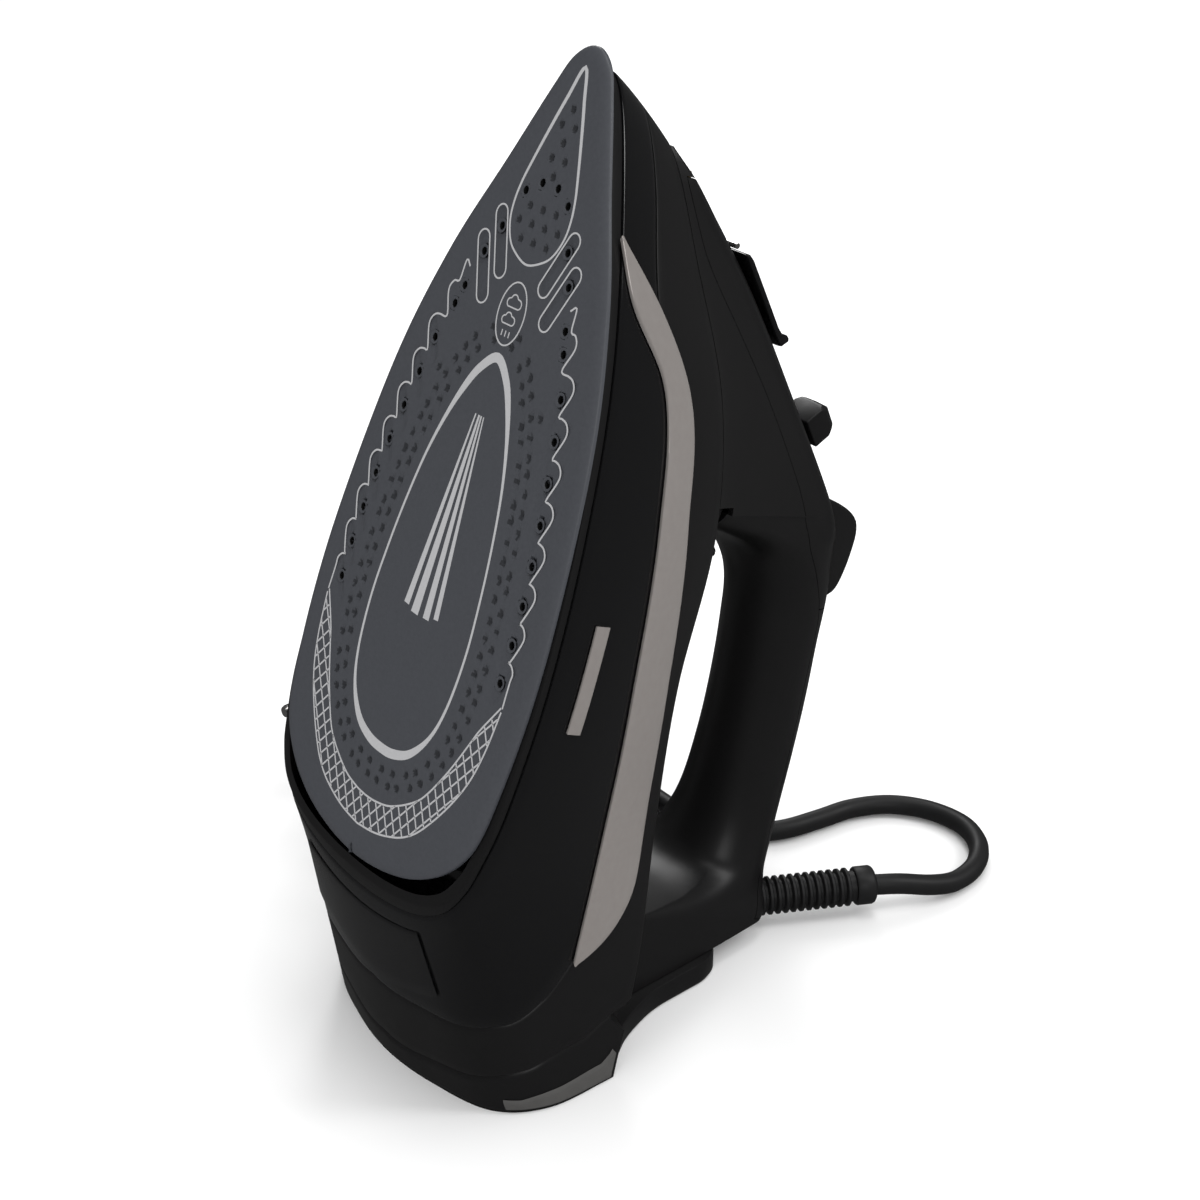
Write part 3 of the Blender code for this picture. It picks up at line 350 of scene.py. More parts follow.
def trim_metallic():
    """Warm grey strip, half metallic, with a faint fine grain."""
    made = new_material("trim_metallic", (0.36, 0.335, 0.32), 0.2, 0.45)
    vary_colour(made, 400, (0.31, 0.285, 0.27), (0.35, 0.325, 0.31))
    vary_roughness(made, 220, 0.16, 0.24)
    add_bump(made, 900, 0.000004)
    return made


def silver_print():
    """Silver ink on the sole."""
    made = new_material("silver_print", (0.42, 0.42, 0.43), 0.45)
    vary_colour(made, 1500, (0.39, 0.39, 0.40), (0.45, 0.45, 0.46))
    vary_roughness(made, 700, 0.4, 0.5)
    return made


def black_rubber():
    made = new_material("black_rubber", (0.0085, 0.0085, 0.009), 0.5, specular=0.4)
    vary_colour(made, 120, (0.0075, 0.0075, 0.008), (0.0105, 0.0105, 0.011))
    vary_roughness(made, 150, 0.42, 0.58)
    add_bump(made, 2400, 0.00003)
    return made


def painted_dimple_shade_ceramic():
    """The same coating in a darker colour: painted shade in the dimples."""
    made = new_material("painted_dimple_shade_ceramic", (0.026, 0.028, 0.033), 0.42)
    vary_colour(made, 900, (0.022, 0.024, 0.028), (0.030, 0.032, 0.038))
    vary_roughness(made, 60, 0.36, 0.48)
    add_bump(made, 2500, 0.00002)
    return made


# Near-black painted shade for the inside of the steam holes.
def painted_hole_shade():
    made = new_material("painted_hole_shade", (0.003, 0.003, 0.003), 0.7)
    vary_roughness(made, 500, 0.65, 0.8)
    return made


def dial_print():
    made = new_material("dial_print", (0.22, 0.22, 0.22), 0.5)
    vary_colour(made, 1200, (0.19, 0.19, 0.19), (0.25, 0.25, 0.25))
    return made


def metal(name, colour, low, high):
    made = new_material(name, colour, low, 1.0)
    vary_roughness(made, 300, low, high)
    add_bump(made, 1500, 0.00001)
    return made


def natural_plastic():
    made = new_material("natural_plastic", (0.5, 0.5, 0.47), 0.45)
    vary_colour(made, 90, (0.47, 0.47, 0.44), (0.53, 0.53, 0.5))
    return made


LOOKS = {
    "slate_ceramic": slate_ceramic(), "gloss_black": gloss_black(), "charcoal_satin": charcoal_satin(),
    "grey_pad": grey_pad(), "trim_metallic": trim_metallic(), "black_rubber": black_rubber(),
    "cast_aluminium": metal("cast_aluminium", (0.5, 0.5, 0.5), 0.45, 0.6),
    "bright_steel": metal("bright_steel", (0.55, 0.54, 0.53), 0.18, 0.28),
    "brass": metal("brass", (0.6, 0.45, 0.2), 0.28, 0.4), "natural_plastic": natural_plastic(),
}
PRINT = silver_print()
# Near-black painted shade for the insides of the steam holes.
PAINTED_HOLE_SHADE = painted_hole_shade()
# Darker coating that paints the shade in the dimples.
PAINTED_DIMPLE_SHADE = painted_dimple_shade_ceramic()
DIAL_MARK = dial_print()


def paint_frame():
    """Gives each CAD node that stays the material of its slot."""
    for row in frame["record"]["subparts"]:
        mesh = frame["nodes"][row["node"]].data
        mesh.materials.clear()
        mesh.materials.append(LOOKS[row["material_slot"]])


# ---------------------------------------------------------------- mesh helpers

def add_piece(name, build, slot, place=TO_WORLD, body="root", replaces=(), smooth=32, look=None, extra=()):
    """Piece from a bmesh built in millimetres, with its slot's material unless another is given."""
    bm = bmesh.new()
    build(bm)
    bmesh.ops.remove_doubles(bm, verts=bm.verts, dist=0.004)
    bmesh.ops.recalc_face_normals(bm, faces=bm.faces)
    bmesh.ops.transform(bm, matrix=place, verts=bm.verts)
    mesh = bpy.data.meshes.new(name)
    bm.to_mesh(mesh)
    bm.free()
    mesh.shade_smooth()
    mesh.set_sharp_from_angle(angle=math.radians(smooth))
    thing = bpy.data.objects.new(name, mesh)
    bpy.context.scene.collection.objects.link(thing)
    for material in (look or LOOKS[slot], *extra):
        mesh.materials.append(material)
    finish_piece(thing, body, replaces)
    return thing


def finish_piece(thing, body, replaces):
    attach(thing, body)
    if replaces:
        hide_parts(*replaces)


def skin(bm, sections, closed=False, cap=False):
    """Quads between sections of equally many points, with the ends capped on request."""
    rows = [[bm.verts.new(p) for p in section] for section in sections]
    for a, b in zip(rows, rows[1:]):
        count = len(a)
        for j in range(count if closed else count - 1):
            k = (j + 1) % count
            bm.faces.new((a[j], a[k], b[k], b[j]))
    if cap:
        bm.faces.new(rows[0])
        bm.faces.new(rows[-1][::-1])
    return rows


def mirror_half(bm):
    """Adds the other half of a half that is open at x = 0."""
    copied = bmesh.ops.duplicate(bm, geom=bm.verts[:] + bm.edges[:] + bm.faces[:])["geom"]
    verts = [v for v in copied if isinstance(v, bmesh.types.BMVert)]
    for v in verts:
        v.co.x = -v.co.x
    bmesh.ops.reverse_faces(bm, faces=[f for f in copied if isinstance(f, bmesh.types.BMFace)])
    near = [v for v in bm.verts if abs(v.co.x) < 0.03]
    for v in near:
        v.co.x = 0
    bmesh.ops.remove_doubles(bm, verts=near, dist=0.01)


def turned(bm, profile, steps=64, place=Matrix.Identity(4)):
    """Adds a closed (radius, z) profile turned about Z."""
    rows = []
    for i in range(steps):
        angle = 2 * math.pi * i / steps
        rows.append([bm.verts.new(place @ Vector((r * math.cos(angle), r * math.sin(angle), z)))
                     for r, z in profile])
    for a, b in zip(rows, rows[1:] + rows[:1]):
        for j in range(len(profile)):
            k = (j + 1) % len(profile)
            if profile[j][0] == 0 and profile[k][0] == 0:
                continue
            bm.faces.new((a[j], a[k], b[k], b[j]))


def smooth_path(points, per_span):
    last = len(points) - 1
    return [spline(points, i / per_span, (False, False)) for i in range(last * per_span + 1)]


def rows_between(low, high, count):
    return [low + (high - low) * i / count for i in range(count + 1)]


def ramp(value, start, stop):
    t = min(max((value - start) / (stop - start), 0), 1)
    return t * t * (3 - 2 * t)


def rounded_rows(low, high, count, edge=0.6):
    """Heights and insets of a wall whose two edges are rounded."""
    rows = [(low, edge), (low + edge * 0.3, edge * 0.3), (low + edge, 0)]
    rows += [(y, 0) for y in rows_between(low + edge, high - edge, count)[1:-1]]
    return rows + [(high - edge, 0), (high - edge * 0.3, edge * 0.3), (high, edge)]


# ---------------------------------------------------------------- stage and light

FLOOR_HALF = 8                       # metres
WORLD_LEVEL, GLOSS_LEVEL = 0.98, 0.10


def make_stage():
    floor_mesh = bpy.data.meshes.new("floor")
    corners = [(x * FLOOR_HALF, y * FLOOR_HALF, 0) for x, y in ((-1, -1), (1, -1), (1, 1), (-1, 1))]
    floor_mesh.from_pydata(corners, [], [(0, 1, 2, 3)])
    floor = bpy.data.objects.new("floor", floor_mesh)
    bpy.context.scene.collection.objects.link(floor)
    pale = new_material("pale_floor", (0.92, 0.92, 0.92), 0.9, specular=0.1)
    vary_roughness(pale, 4, 0.85, 0.95)
    floor_mesh.materials.append(pale)
    floor.visible_glossy = False
    floor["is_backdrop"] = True
    world = bpy.data.worlds.new("studio")
    bpy.context.scene.world = world
    world.use_nodes = True
    tree = world.node_tree
    # Gloss reflects a dimmer studio than the one that lights the rest, so that black stays black.
    path = tree.nodes.new("ShaderNodeLightPath")
    level = tree.nodes.new("ShaderNodeMapRange")
    level.inputs["To Min"].default_value = WORLD_LEVEL
    level.inputs["To Max"].default_value = GLOSS_LEVEL
    tree.links.new(path.outputs["Is Glossy Ray"], level.inputs["Value"])
    sky = tree.nodes["Background"]
    sky.inputs["Color"].default_value = (1, 1, 1, 1)
    tree.links.new(level.outputs["Result"], sky.inputs["Strength"])
    bpy.context.scene.view_settings.view_transform = "Standard"


def area_light(name, at, target, size, power):
    data = bpy.data.lights.new(name, "AREA")
    data.shape = "RECTANGLE"
    data.size, data.size_y = size
    data.energy = power
    lamp = bpy.data.objects.new(name, data)
    bpy.context.scene.collection.objects.link(lamp)
    lamp.location = at
    lamp.rotation_euler = (Vector(target) - Vector(at)).to_track_quat("-Z", "Y").to_euler()


def make_lights():
    centre = (0, 0, 0.14)
    area_light("key", (0.9, 0.9, 1.3), centre, (0.35, 0.9), 7)
    area_light("rim", (-0.9, 0.6, 0.9), centre, (0.3, 0.8), 5)
    area_light("fill", (1.4, -0.5, 0.9), centre, (0.5, 0.5), 3)
    area_light("top", (0.1, 0.1, 1.6), centre, (0.6, 0.6), 4)


# ---------------------------------------------------------------- cord, coil, tie and plug

def coil_point(t):
    """Point of the coil after t turns: two rings of turns, three layers."""
    radius = 45 - 7 * ramp(t, 0.85, 1) + 7 * ramp(t, 2.55, 2.7) - 7 * ramp(t, 4.25, 4.4)
    height = 3.8 + 7 * ramp(t, 1.7, 1.85) + 7 * ramp(t, 3.4, 3.55) + 7.4 * ramp(t, 4.85, 5.03)
    angle = math.radians(90 + 360 * t)
    cx, cy = COIL_CENTRE
    return (cx + radius * math.cos(angle), cy + radius * math.sin(angle), height)


def cord_points():
    turns = 5.03
    steps = 260
    coil = [coil_point(turns * i / steps) for i in range(1, steps)]
    route = smooth_path(CORD_ROUTE, 6) + coil + smooth_path(LEAD_ROUTE, 8)
    return [FLOOR @ Vector(p) for p in route]


def make_cord():
    points = cord_points()
    data = bpy.data.curves.new("mains_cord", "CURVE")
    data.dimensions = "3D"
    data.bevel_depth = CORD_D / 2 * MM
    data.bevel_resolution = 5
    data.use_fill_caps = True
    line = data.splines.new("POLY")
    line.points.add(len(points) - 1)
    for target, point in zip(line.points, points):
        target.co = (*point, 1)
    data.materials.append(LOOKS["black_rubber"])
    cord = bpy.data.objects.new("mains_cord", data)
    bpy.context.scene.collection.objects.link(cord)
    finish_piece(cord, "root", ("power_cord", "cord_coil", "plug_lead"))
    length = sum((b - a).length for a, b in zip(points, points[1:]))
    extras = [make_tie(), make_plug()] + make_pins()
    tuple(points[0])


def make_tie():
    """Rubber strap round the coil, at the side away from the iron."""
    inner, outer = COIL_RADII[0] - 3.5, COIL_RADII[1] + 3.5
    top = COIL_LAYERS * CORD_D + GAP
    radius = 1.2                       # of the strap's four corners

    def build(bm):
        rows = []
        for y, grow in ((-3.2, 0.5), (-2.9, 0.9), (-1.4, 1.3), (1.4, 1.3), (2.9, 0.9), (3.2, 0.5)):
            ring = []
            grown = max(grow - 0.6, 0)
            corners = ((inner - 0.9, 0.1), (outer + 0.6, 0.1), (outer + 0.6, top + 0.7),
                       (inner - 0.9, top + 0.7))
            for quarter, (r, z) in enumerate(corners):
                for turn_step in (0, 0.5, 1):
                    angle = math.radians(180 + 90 * quarter + 90 * turn_step)
                    cx = r + (radius if quarter in (0, 3) else -radius)
                    cz = z + (radius if quarter in (0, 1) else -radius)
                    dx, dz = math.cos(angle), math.sin(angle)
                    low = -0.1 if dz < -0.5 else dz * grown
                    across = cx + radius * dx + dx * grown
                    ring.append(Vector((-across, y, max(cz + radius * dz + low, 0.02))))
            rows.append(ring)
        outer_rows = skin(bm, rows, closed=True)
        hole = [Vector((-r, y, z)) for y in (-3.2, 3.2) for r, z in
                ((inner - 0.4, 0.25), (outer + 0.3, 0.25), (outer + 0.3, top + 0.4),
                 (inner - 0.4, top + 0.4))]
        inner_rows = skin(bm, [hole[:4], hole[4:]], closed=True)
        for edge_row, hole_row in ((outer_rows[0], inner_rows[0]), (outer_rows[-1], inner_rows[-1])):
            for k in range(4):
                quarter = edge_row[3 * k:3 * k + 3]
                following = edge_row[(3 * k + 3) % 12]
                bm.faces.new(quarter + [hole_row[k]])
                bm.faces.new((quarter[-1], following, hole_row[(k + 1) % 4], hole_row[k]))
    place = FLOOR @ Matrix.Translation((*COIL_CENTRE, 0)) @ Matrix.Rotation(math.radians(160), 4, "Z")
    return add_piece("coil_tie", build, "black_rubber", place, replaces=("cord_tie",))


def plug_place():
    return FLOOR @ Matrix.Translation(PLUG_AT) @ Matrix.Rotation(PLUG_TURN, 4, "Z")


def make_plug():
    """Moulded plug: round face, ribbed waist, tapering to the lead."""
    profile = [(-24, 4.4), (-23.4, 5), (-21, 5.4), (-20.6, 5), (-20, 5.2), (-18, 5.9), (-17.4, 5.5),
               (-16.8, 6), (-14, 7), (-10, 9.4), (-6, 12), (-2.5, 14.4), (0, 15.2), (8, 15.6),
               (13.2, 15.7), (14.8, 15.2), (15.5, 14.4)]

    def build(bm):
        sections = []
        for x, radius in profile:
            ring = []
            for i in range(56):
                angle = 2 * math.pi * i / 56
                grip = 1 - 0.035 * (math.cos(14 * angle) > 0.3) * (-4 < x < 9)
                ring.append(Vector((x, radius * grip * math.cos(angle),
                                    min(radius, 15) * grip * math.sin(angle))))
            sections.append(ring)
        skin(bm, sections, closed=True, cap=True)
    return add_piece("mains_plug", build, "black_rubber", plug_place(), replaces=("plug_body",), smooth=40)


def make_pins():
    """Two round pins with insulating sleeves and rounded tips."""
    made = []
    for name, y, node in (("pin_left", 9.5, "plug_pin_left"), ("pin_right", -9.5, "plug_pin_right")):
        def build(bm):
            profile = [(0, 15.2), (2.4, 15.2), (2.4, 25), (2.38, 25.1), (2.38, 33.2), (1.9, 34.4),
                       (0.9, 34.8), (0, 34.8)]
            turned(bm, profile, 32, Matrix.Translation((0, y, 0)) @ Matrix.Rotation(math.pi / 2, 4, "Y"))
        made.append(add_piece(name, build, "bright_steel", plug_place(), replaces=(node,)))
    return made


def make_guard():
    """Ribbed strain relief that turns in the tail."""
    profile = [(3.7, -14), (6.6, -14), (6.6, -11.6), (6.2, -11.2), (5.1, -10.8)]
    ribs = 13
    pitch = (GUARD_LENGTH - 9) / ribs
    for i in range(ribs):
        z = 1.2 + i * pitch
        profile += [(5.1, z), (6.0, z + pitch * 0.1), (6.4, z + pitch * 0.22), (6.4, z + pitch * 0.5),
                    (6.0, z + pitch * 0.62), (5.1, z + pitch * 0.72)]
    end = GUARD_LENGTH
    profile += [(5.2, end - 6.8), (6.2, end - 6.6), (6.5, end - 6.1), (6.5, end - 1.3), (6.1, end - 0.5),
                (5.4, end), (3.7, end)]
    place = (FLOOR @ Matrix.Translation((*GUARD_START, GUARD_HEIGHT)) @ Matrix.Rotation(-GUARD_TURN, 4, "Z")
             @ Matrix.Rotation(-math.pi / 2, 4, "X"))
    add_piece("ribbed_guard", lambda bm: turned(bm, profile, 56), "black_rubber", place, "guard",
              ("cord_guard",), 40)


# ---------------------------------------------------------------- soleplate

ROW_START, ROW_STEP, ROW_SPREAD, ROW_COUNT = (29.7, 145.9), 10.9, 10.7, 8
HOLE_ROW = [(ROW_START[0] + ROW_SPREAD * math.sin(math.pi / 2 * i / 6.5), ROW_START[1] - ROW_STEP * i)
            for i in range(ROW_COUNT)]
FRONT_HOLES = [(23.4, 162.8), (25.4, 157)]
HOLES = FRONT_HOLES + HOLE_ROW
SMALL_HOLES = [(3.5, 196.7), (9.5, 193.3), (15, 182), (19.4, 173.7)]
CAPSULES = [((16.4, 185.2), (10.2, 170.9), 2.4), ((20.9, 177), (14.6, 162.7), 2.4)]
DROP = [(228.8, 0), (220, 3.7), (210, 7.3), (200, 10.6), (195, 12), (190, 12.7), (185, 12.3), (180, 10),
        (177, 6.5), (174.8, 0)]
BIG_RING = [(0, 148.6), (6, 144.2), (10.3, 137.5), (14.6, 127.5), (18.4, 115), (21.2, 100), (23, 85),
            (23.9, 70), (22.8, 55), (19.6, 44.5), (13.5, 36.8), (6.5, 33.5), (0, 32.8)]
RING_WIDTH = [(32, 3.0), (38, 2.2), (45, 1.3), (60, 0.9), (110, 0.9), (128, 1.4), (140, 2.4), (149, 2.8)]
DIMPLE_R, DIMPLE_DEPTH = 1.35, 0.75
HOLE_R = 1.15


def even_path(points, spacing, mirrored_ends=(False, False)):
    """Points along a smooth path, about evenly spaced."""
    fine = [spline(points, i / 40, mirrored_ends) for i in range((len(points) - 1) * 40 + 1)]
    total = sum(math.dist(a, b) for a, b in zip(fine, fine[1:]))
    count = max(2, round(total / spacing))
    kept, travelled, wanted = [fine[0]], 0.0, total / count
    for a, b in zip(fine, fine[1:]):
        travelled += math.dist(a, b)
        if travelled >= wanted and len(kept) < count:
            kept.append(b)
            wanted += total / count
    return kept + [fine[-1]]


def offset_path(points, distance):
    """Path moved sideways: to the right of its direction for a positive distance."""
    moved = []
    for i, (x, z) in enumerate(points):
        ax, az = points[max(i - 1, 0)]
        bx, bz = points[min(i + 1, len(points) - 1)]
        if i == 0 and abs(x) < 0.01:
            ax, az = -bx, bz
        if i == len(points) - 1 and abs(x) < 0.01:
            bx, bz = -ax, az
        dx, dz = bx - ax, bz - az
        size = math.hypot(dx, dz) or 1
        moved.append((x + distance * dz / size, z - distance * dx / size))
    return moved


def drawn_in(points, inset):
    """Outline moved inwards, with what would cross x = 0 gathered on it."""
    moved = offset_path(points, inset)
    first = next(i for i, (x, z) in enumerate(moved) if x > 0)
    if first:
        (x0, z0), (x1, z1) = moved[first - 1], moved[first]
        tip = z1 + (z0 - z1) * x1 / (x1 - x0)
        moved = [(0, tip)] * first + moved[first:]
    return [(max(x, 0), z) for x, z in moved]


def half_width(table, z):
    """Half width at z of a figure given as (z, half width) rows."""
    rows = sorted(table)
    if z <= rows[0][0] or z >= rows[-1][0]:
        return -1.0
    return curve_value(rows, z)


def dimple_centres():
    """Where the sole's small dimples are, on its right half."""
    centres = []
    row = 0
    z = 217.5
    while z > 178:
        room = half_width(DROP, z) - 2.2
        columns = [2.9 * k for k in ((0, 2, 4) if row % 2 == 0 else (1, 3))]
        centres += [(x, z) for x in columns if x < room]
        z -= 4.6
        row += 1
    ring = even_path(BIG_RING, 1.0)
    for distance, phase in DIMPLE_ROWS:
        path = offset_path(ring, distance)
        travelled, wanted = 0.0, DIMPLE_SPACING * phase
        for a, b in zip(path, path[1:]):
            travelled += math.dist(a, b)
            if travelled >= wanted and b[0] > 0.5:
                centres.append(b)
                wanted += DIMPLE_SPACING
    centres += [(x - 5.5, z - 7) for x, z in HOLE_ROW]
    kept = []
    for x, z in centres:
        clear = all(math.dist((x, z), other) > 3.4 for other in kept + HOLES + SMALL_HOLES)
        if clear and not near_capsule(x, z, 1.8):
            kept.append((x, z))
    return kept


def segment_distance(x, z, a, b):
    (ax, az), (bx, bz) = a, b
    dx, dz = bx - ax, bz - az
    t = max(0.0, min(1.0, ((x - ax) * dx + (z - az) * dz) / (dx * dx + dz * dz)))
    return math.hypot(x - ax - t * dx, z - az - t * dz)


def near_capsule(x, z, margin):
    return any(segment_distance(x, z, a, b) < r + margin for a, b, r in CAPSULES)


# Shallow slanted recesses beside the steam holes: both ends and the radius.
GROOVES = [((x + 3.2, z + 4.4), (x - 1.6, z - 5.4), 2.5) for x, z in HOLE_ROW]
GROOVE_DEPTH, CAPSULE_DEPTH, HOLE_FLOOR = 0.42, 0.7, 1.95
DIMPLE_SPACING = 5.3
DIMPLE_ROWS = ((-5.6, 0.0), (-9.4, 0.5))     # distance outside the ring, and phase


def bowl(distance, radius, depth):
    if distance >= radius:
        return 0.0
    return depth * (1 - (distance / radius) ** 2) ** 0.8


def pocket(distance, radius, depth, edge):
    """Flat-bottomed recess with a rounded wall."""
    return depth * (1 - ramp(distance, radius - edge, radius))


def buckets(points, size=6.0):
    table = {}
    for x, z in points:
        for i in (-1, 0, 1):
            for j in (-1, 0, 1):
                table.setdefault((int(x // size) + i, int(z // size) + j), []).append((x, z))
    return table


def make_soleplate():
    outline = even_path(SOLE, 0.5, (True, True))
    dimples = buckets(dimple_centres())
    holes = buckets(HOLES + SMALL_HOLES)

    def depth(x, z):
        key = (int(x // 6), int(z // 6))
        value = 0.0
        for a, b, r in GROOVES:
            if abs(z - a[1]) < 18:
                value = max(value, pocket(segment_distance(x, z, a, b), r, GROOVE_DEPTH, 1.6))
        for a, b, r in CAPSULES:
            value = max(value, pocket(segment_distance(x, z, a, b), r, CAPSULE_DEPTH, 0.7))
        for centre in dimples.get(key, ()):
            value = max(value, bowl(math.dist((x, z), centre), DIMPLE_R, DIMPLE_DEPTH))
        for centre in holes.get(key, ()):
            if math.dist((x, z), centre) < HOLE_R + 0.45:
                value = max(value, HOLE_FLOOR)
        return value

    def build(bm):
        profile = [(3.4, 0), (2.6, 0.08), (1.8, 0.26), (1.2, 0.5), (0.7, 0.8), (0.3, 1.1), (0.08, 1.35),
                   (0, 1.6), (0, SOLE_THICKNESS)]
        rings = [[Vector((x, y, z)) for x, z in drawn_in(outline, inset)] for inset, y in profile]
        columns = 106
        sections = []
        for i, p in enumerate(rings[0]):
            row = []
            for j in range(columns + 1):
                x = p.x * j / columns
                row.append(Vector((x, 0 if j == columns else depth(x, p.z), p.z)))
            back = Vector((0, SOLE_THICKNESS, outline[i][1]))
            sections.append(row + [ring[i] for ring in rings[1:]] + [back])
        skin(bm, sections)
        mirror_half(bm)
    # The second material is painted shade: below, faces near each dimple's centre get the darker coating.
    sole = add_piece("ceramic_soleplate", build, "slate_ceramic", replaces=("soleplate",), smooth=50,
                     extra=(PAINTED_DIMPLE_SHADE,))
    to_iron = TO_WORLD.inverted()
    for face in sole.data.polygons:
        centre = to_iron @ face.center
        near = dimples.get((int(abs(centre.x) // 6), int(centre.z // 6)), ())
        if any(math.dist((abs(centre.x), centre.z), c) < DIMPLE_R - 0.25 for c in near):
            face.material_index = 1


def make_hole_linings():
    """Rounded rims of the steam holes, with near-black bores and floors painted as the shade inside the
    holes.
    """
    profile = [(HOLE_R + 0.85, 0.03), (HOLE_R + 0.8, -0.03), (HOLE_R + 0.35, -0.02), (HOLE_R + 0.1, 0.08),
               (HOLE_R, 0.3), (HOLE_R, 1.7), (0, 1.7), (0, 1.85), (HOLE_R + 0.3, 1.85), (HOLE_R + 0.5, 0.5)]

    def build(bm):
        for x, z in HOLES + SMALL_HOLES:
            for sign in (1, -1):
                place = Matrix.Translation((sign * x, 0, z)) @ UPRIGHT
                turned(bm, profile, 28, place)
    thing = add_piece("steam_hole_linings", build, "slate_ceramic", extra=(PAINTED_HOLE_SHADE,), smooth=50)
    to_iron = TO_WORLD.inverted()
    # Bore and floor faces get the near-black painted shade.
    for face in thing.data.polygons:
        if (to_iron @ face.center).y > 0.25:
            face.material_index = 1


PRINT_FACE, PRINT_BACK = -0.05, 0.03      # the ink stands just proud of the sole


def ribbon(bm, points, widths, closed=False):
    """Raised printed line through (x, z) points; one width for all or one each."""
    count = len(points)
    if not hasattr(widths, "__len__"):
        widths = [widths] * count
    rows = []
    for i, (x, z) in enumerate(points):
        before = points[(i - 1) % count if closed else max(i - 1, 0)]
        after = points[(i + 1) % count if closed else min(i + 1, count - 1)]
        dx, dz = after[0] - before[0], after[1] - before[1]
        size = math.hypot(dx, dz) or 1
        nx, nz = dz / size * widths[i] / 2, -dx / size * widths[i] / 2
        rows.append([Vector((x + nx, PRINT_FACE, z + nz)), Vector((x - nx, PRINT_FACE, z - nz)),
                     Vector((x - nx, PRINT_BACK, z - nz)), Vector((x + nx, PRINT_BACK, z + nz))])
    if closed:
        rows.append(rows[0])
    skin(bm, rows, closed=True, cap=not closed)


def mirrored_x(points):
    return [(-x, z) for x, z in points]


def both_sides(bm, points, widths, closed=False):
    ribbon(bm, points, widths, closed)
    ribbon(bm, mirrored_x(points), widths, closed)


def print_ring(bm):
    half = even_path(BIG_RING, 1.2, (True, True))
    whole = half + mirrored_x(half)[-2:0:-1]
    ribbon(bm, whole, [curve_value(RING_WIDTH, z) for x, z in whole], True)
    drop = even_path([(w, z) for z, w in DROP], 1.0, (True, True))
    whole = drop + mirrored_x(drop)[-2:0:-1]
    ribbon(bm, whole, [0.6 + 0.6 * ramp(z, 176, 222) for x, z in whole], True)


def print_cloud(bm, cx, cz, scale):
    """Outline of a small cloud with three lobes."""
    points = []
    for x, z, radius, start, stop in ((-2.1, 0, 1.2, 250, 100), (-0.4, 1.0, 1.5, 165, 25),
                                      (1.7, 0.2, 1.3, 80, -80)):
        for k in range(9):
            angle = math.radians(start + (stop - start) * k / 8)
            points.append((cx + scale * (x + radius * math.cos(angle)),
                           cz + scale * (z + radius * math.sin(angle))))
    points += [(cx + scale * 1.2, cz - scale * 1.1), (cx - scale * 1.6, cz - scale * 1.1)]
    ribbon(bm, points, 0.4, True)


def print_icon(bm):
    """Ring with two small steam clouds."""
    oval = [(5.8 * math.cos(math.radians(a)), 161 + 8.75 * math.sin(math.radians(a)))
            for a in range(0, 360, 6)]
    ribbon(bm, oval, 0.45, True)
    print_cloud(bm, 0.2, 163.8, 1.0)
    print_cloud(bm, -0.3, 159.0, 0.9)
    for x in (-1.6, 0.0, 1.6):
        ribbon(bm, [(x, 156.3), (x, 154.6)], 0.4)


def print_capsules(bm):
    for (ax, az), (bx, bz), radius in CAPSULES:
        heading = math.atan2(az - bz, ax - bx)
        outline = []
        for centre, start in (((ax, az), -90), ((bx, bz), 90)):
            for k in range(11):
                angle = heading + math.radians(start + 18 * k)
                outline.append((centre[0] + (radius + 0.1) * math.cos(angle),
                                centre[1] + (radius + 0.1) * math.sin(angle)))
        both_sides(bm, outline, 0.5, True)


def print_scallops(bm):
    """Wavy line that runs round the outside of the steam holes."""
    points = [(23.2, 168.3), (25.4, 169.6)]
    for x, z in HOLES[1:]:
        points += [(x + 0.6, z + 6.6), (x + 2.6, z + 6.0), (x + 4.0, z + 4.2), (x + 3.9, z + 1.8),
                   (x + 1.6, z - 4)]
    points = points[:-1] + [(44.5, 64)]
    both_sides(bm, even_path(points, 0.7), 0.55)


MESH_OUTER = [(63, 44.5), (50, 43), (40, 40.3), (30, 35), (20, 27.5), (15, 21.5), (12, 15), (10, 8), (9, 0)]
MESH_INNER = [(64, 44), (55, 38.5), (50, 36.2), (40, 31.5), (30, 25.5), (25, 20.5), (20, 12), (18.2, 5),
              (17.8, 0)]


def print_mesh_band(bm):
    """Band of crossing lines round the rear."""
    outer = even_path([(x, z) for z, x in MESH_OUTER], 1.2)
    inner = even_path([(x, z) for z, x in MESH_INNER], 1.2)
    for path in (outer, inner):
        ribbon(bm, path + mirrored_x(path)[-2::-1], 0.55)

    def inside(x, z):
        return abs(x) < half_width(MESH_OUTER, z) and not abs(x) < half_width(MESH_INNER, z) and z > 9.1
    slope = math.radians(53)
    for sign in (1, -1):
        dx, dz = math.cos(slope) * sign, math.sin(slope)
        for k in range(-32, 33):
            offset = k * 3.4 / math.sin(slope)
            run = []
            for step in range(-20, 200):
                x, z = offset + dx * step * 0.6, 8 + dz * step * 0.6
                if inside(x, z):
                    run.append((x, z))
                else:
                    if len(run) > 2:
                        ribbon(bm, [run[0], run[-1]], 0.5)
                    run = []


def print_rays(bm):
    """Four tapering rays inside the big ring."""
    for (x0, w0, z0), (x1, w1) in zip(((-7.3, 2.4, 74), (-2.7, 3.4, 72.7), (2.9, 2.8, 73), (7.2, 2.1, 74.5)),
                                      ((-2.1, 0.5), (-0.5, 0.8), (0.5, 0.6), (1.6, 0.4))):
        points = [(x0 + (x1 - x0) * i / 8, z0 + (132 - z0) * i / 8) for i in range(9)]
        ribbon(bm, points, [w0 + (w1 - w0) * i / 8 for i in range(9)])


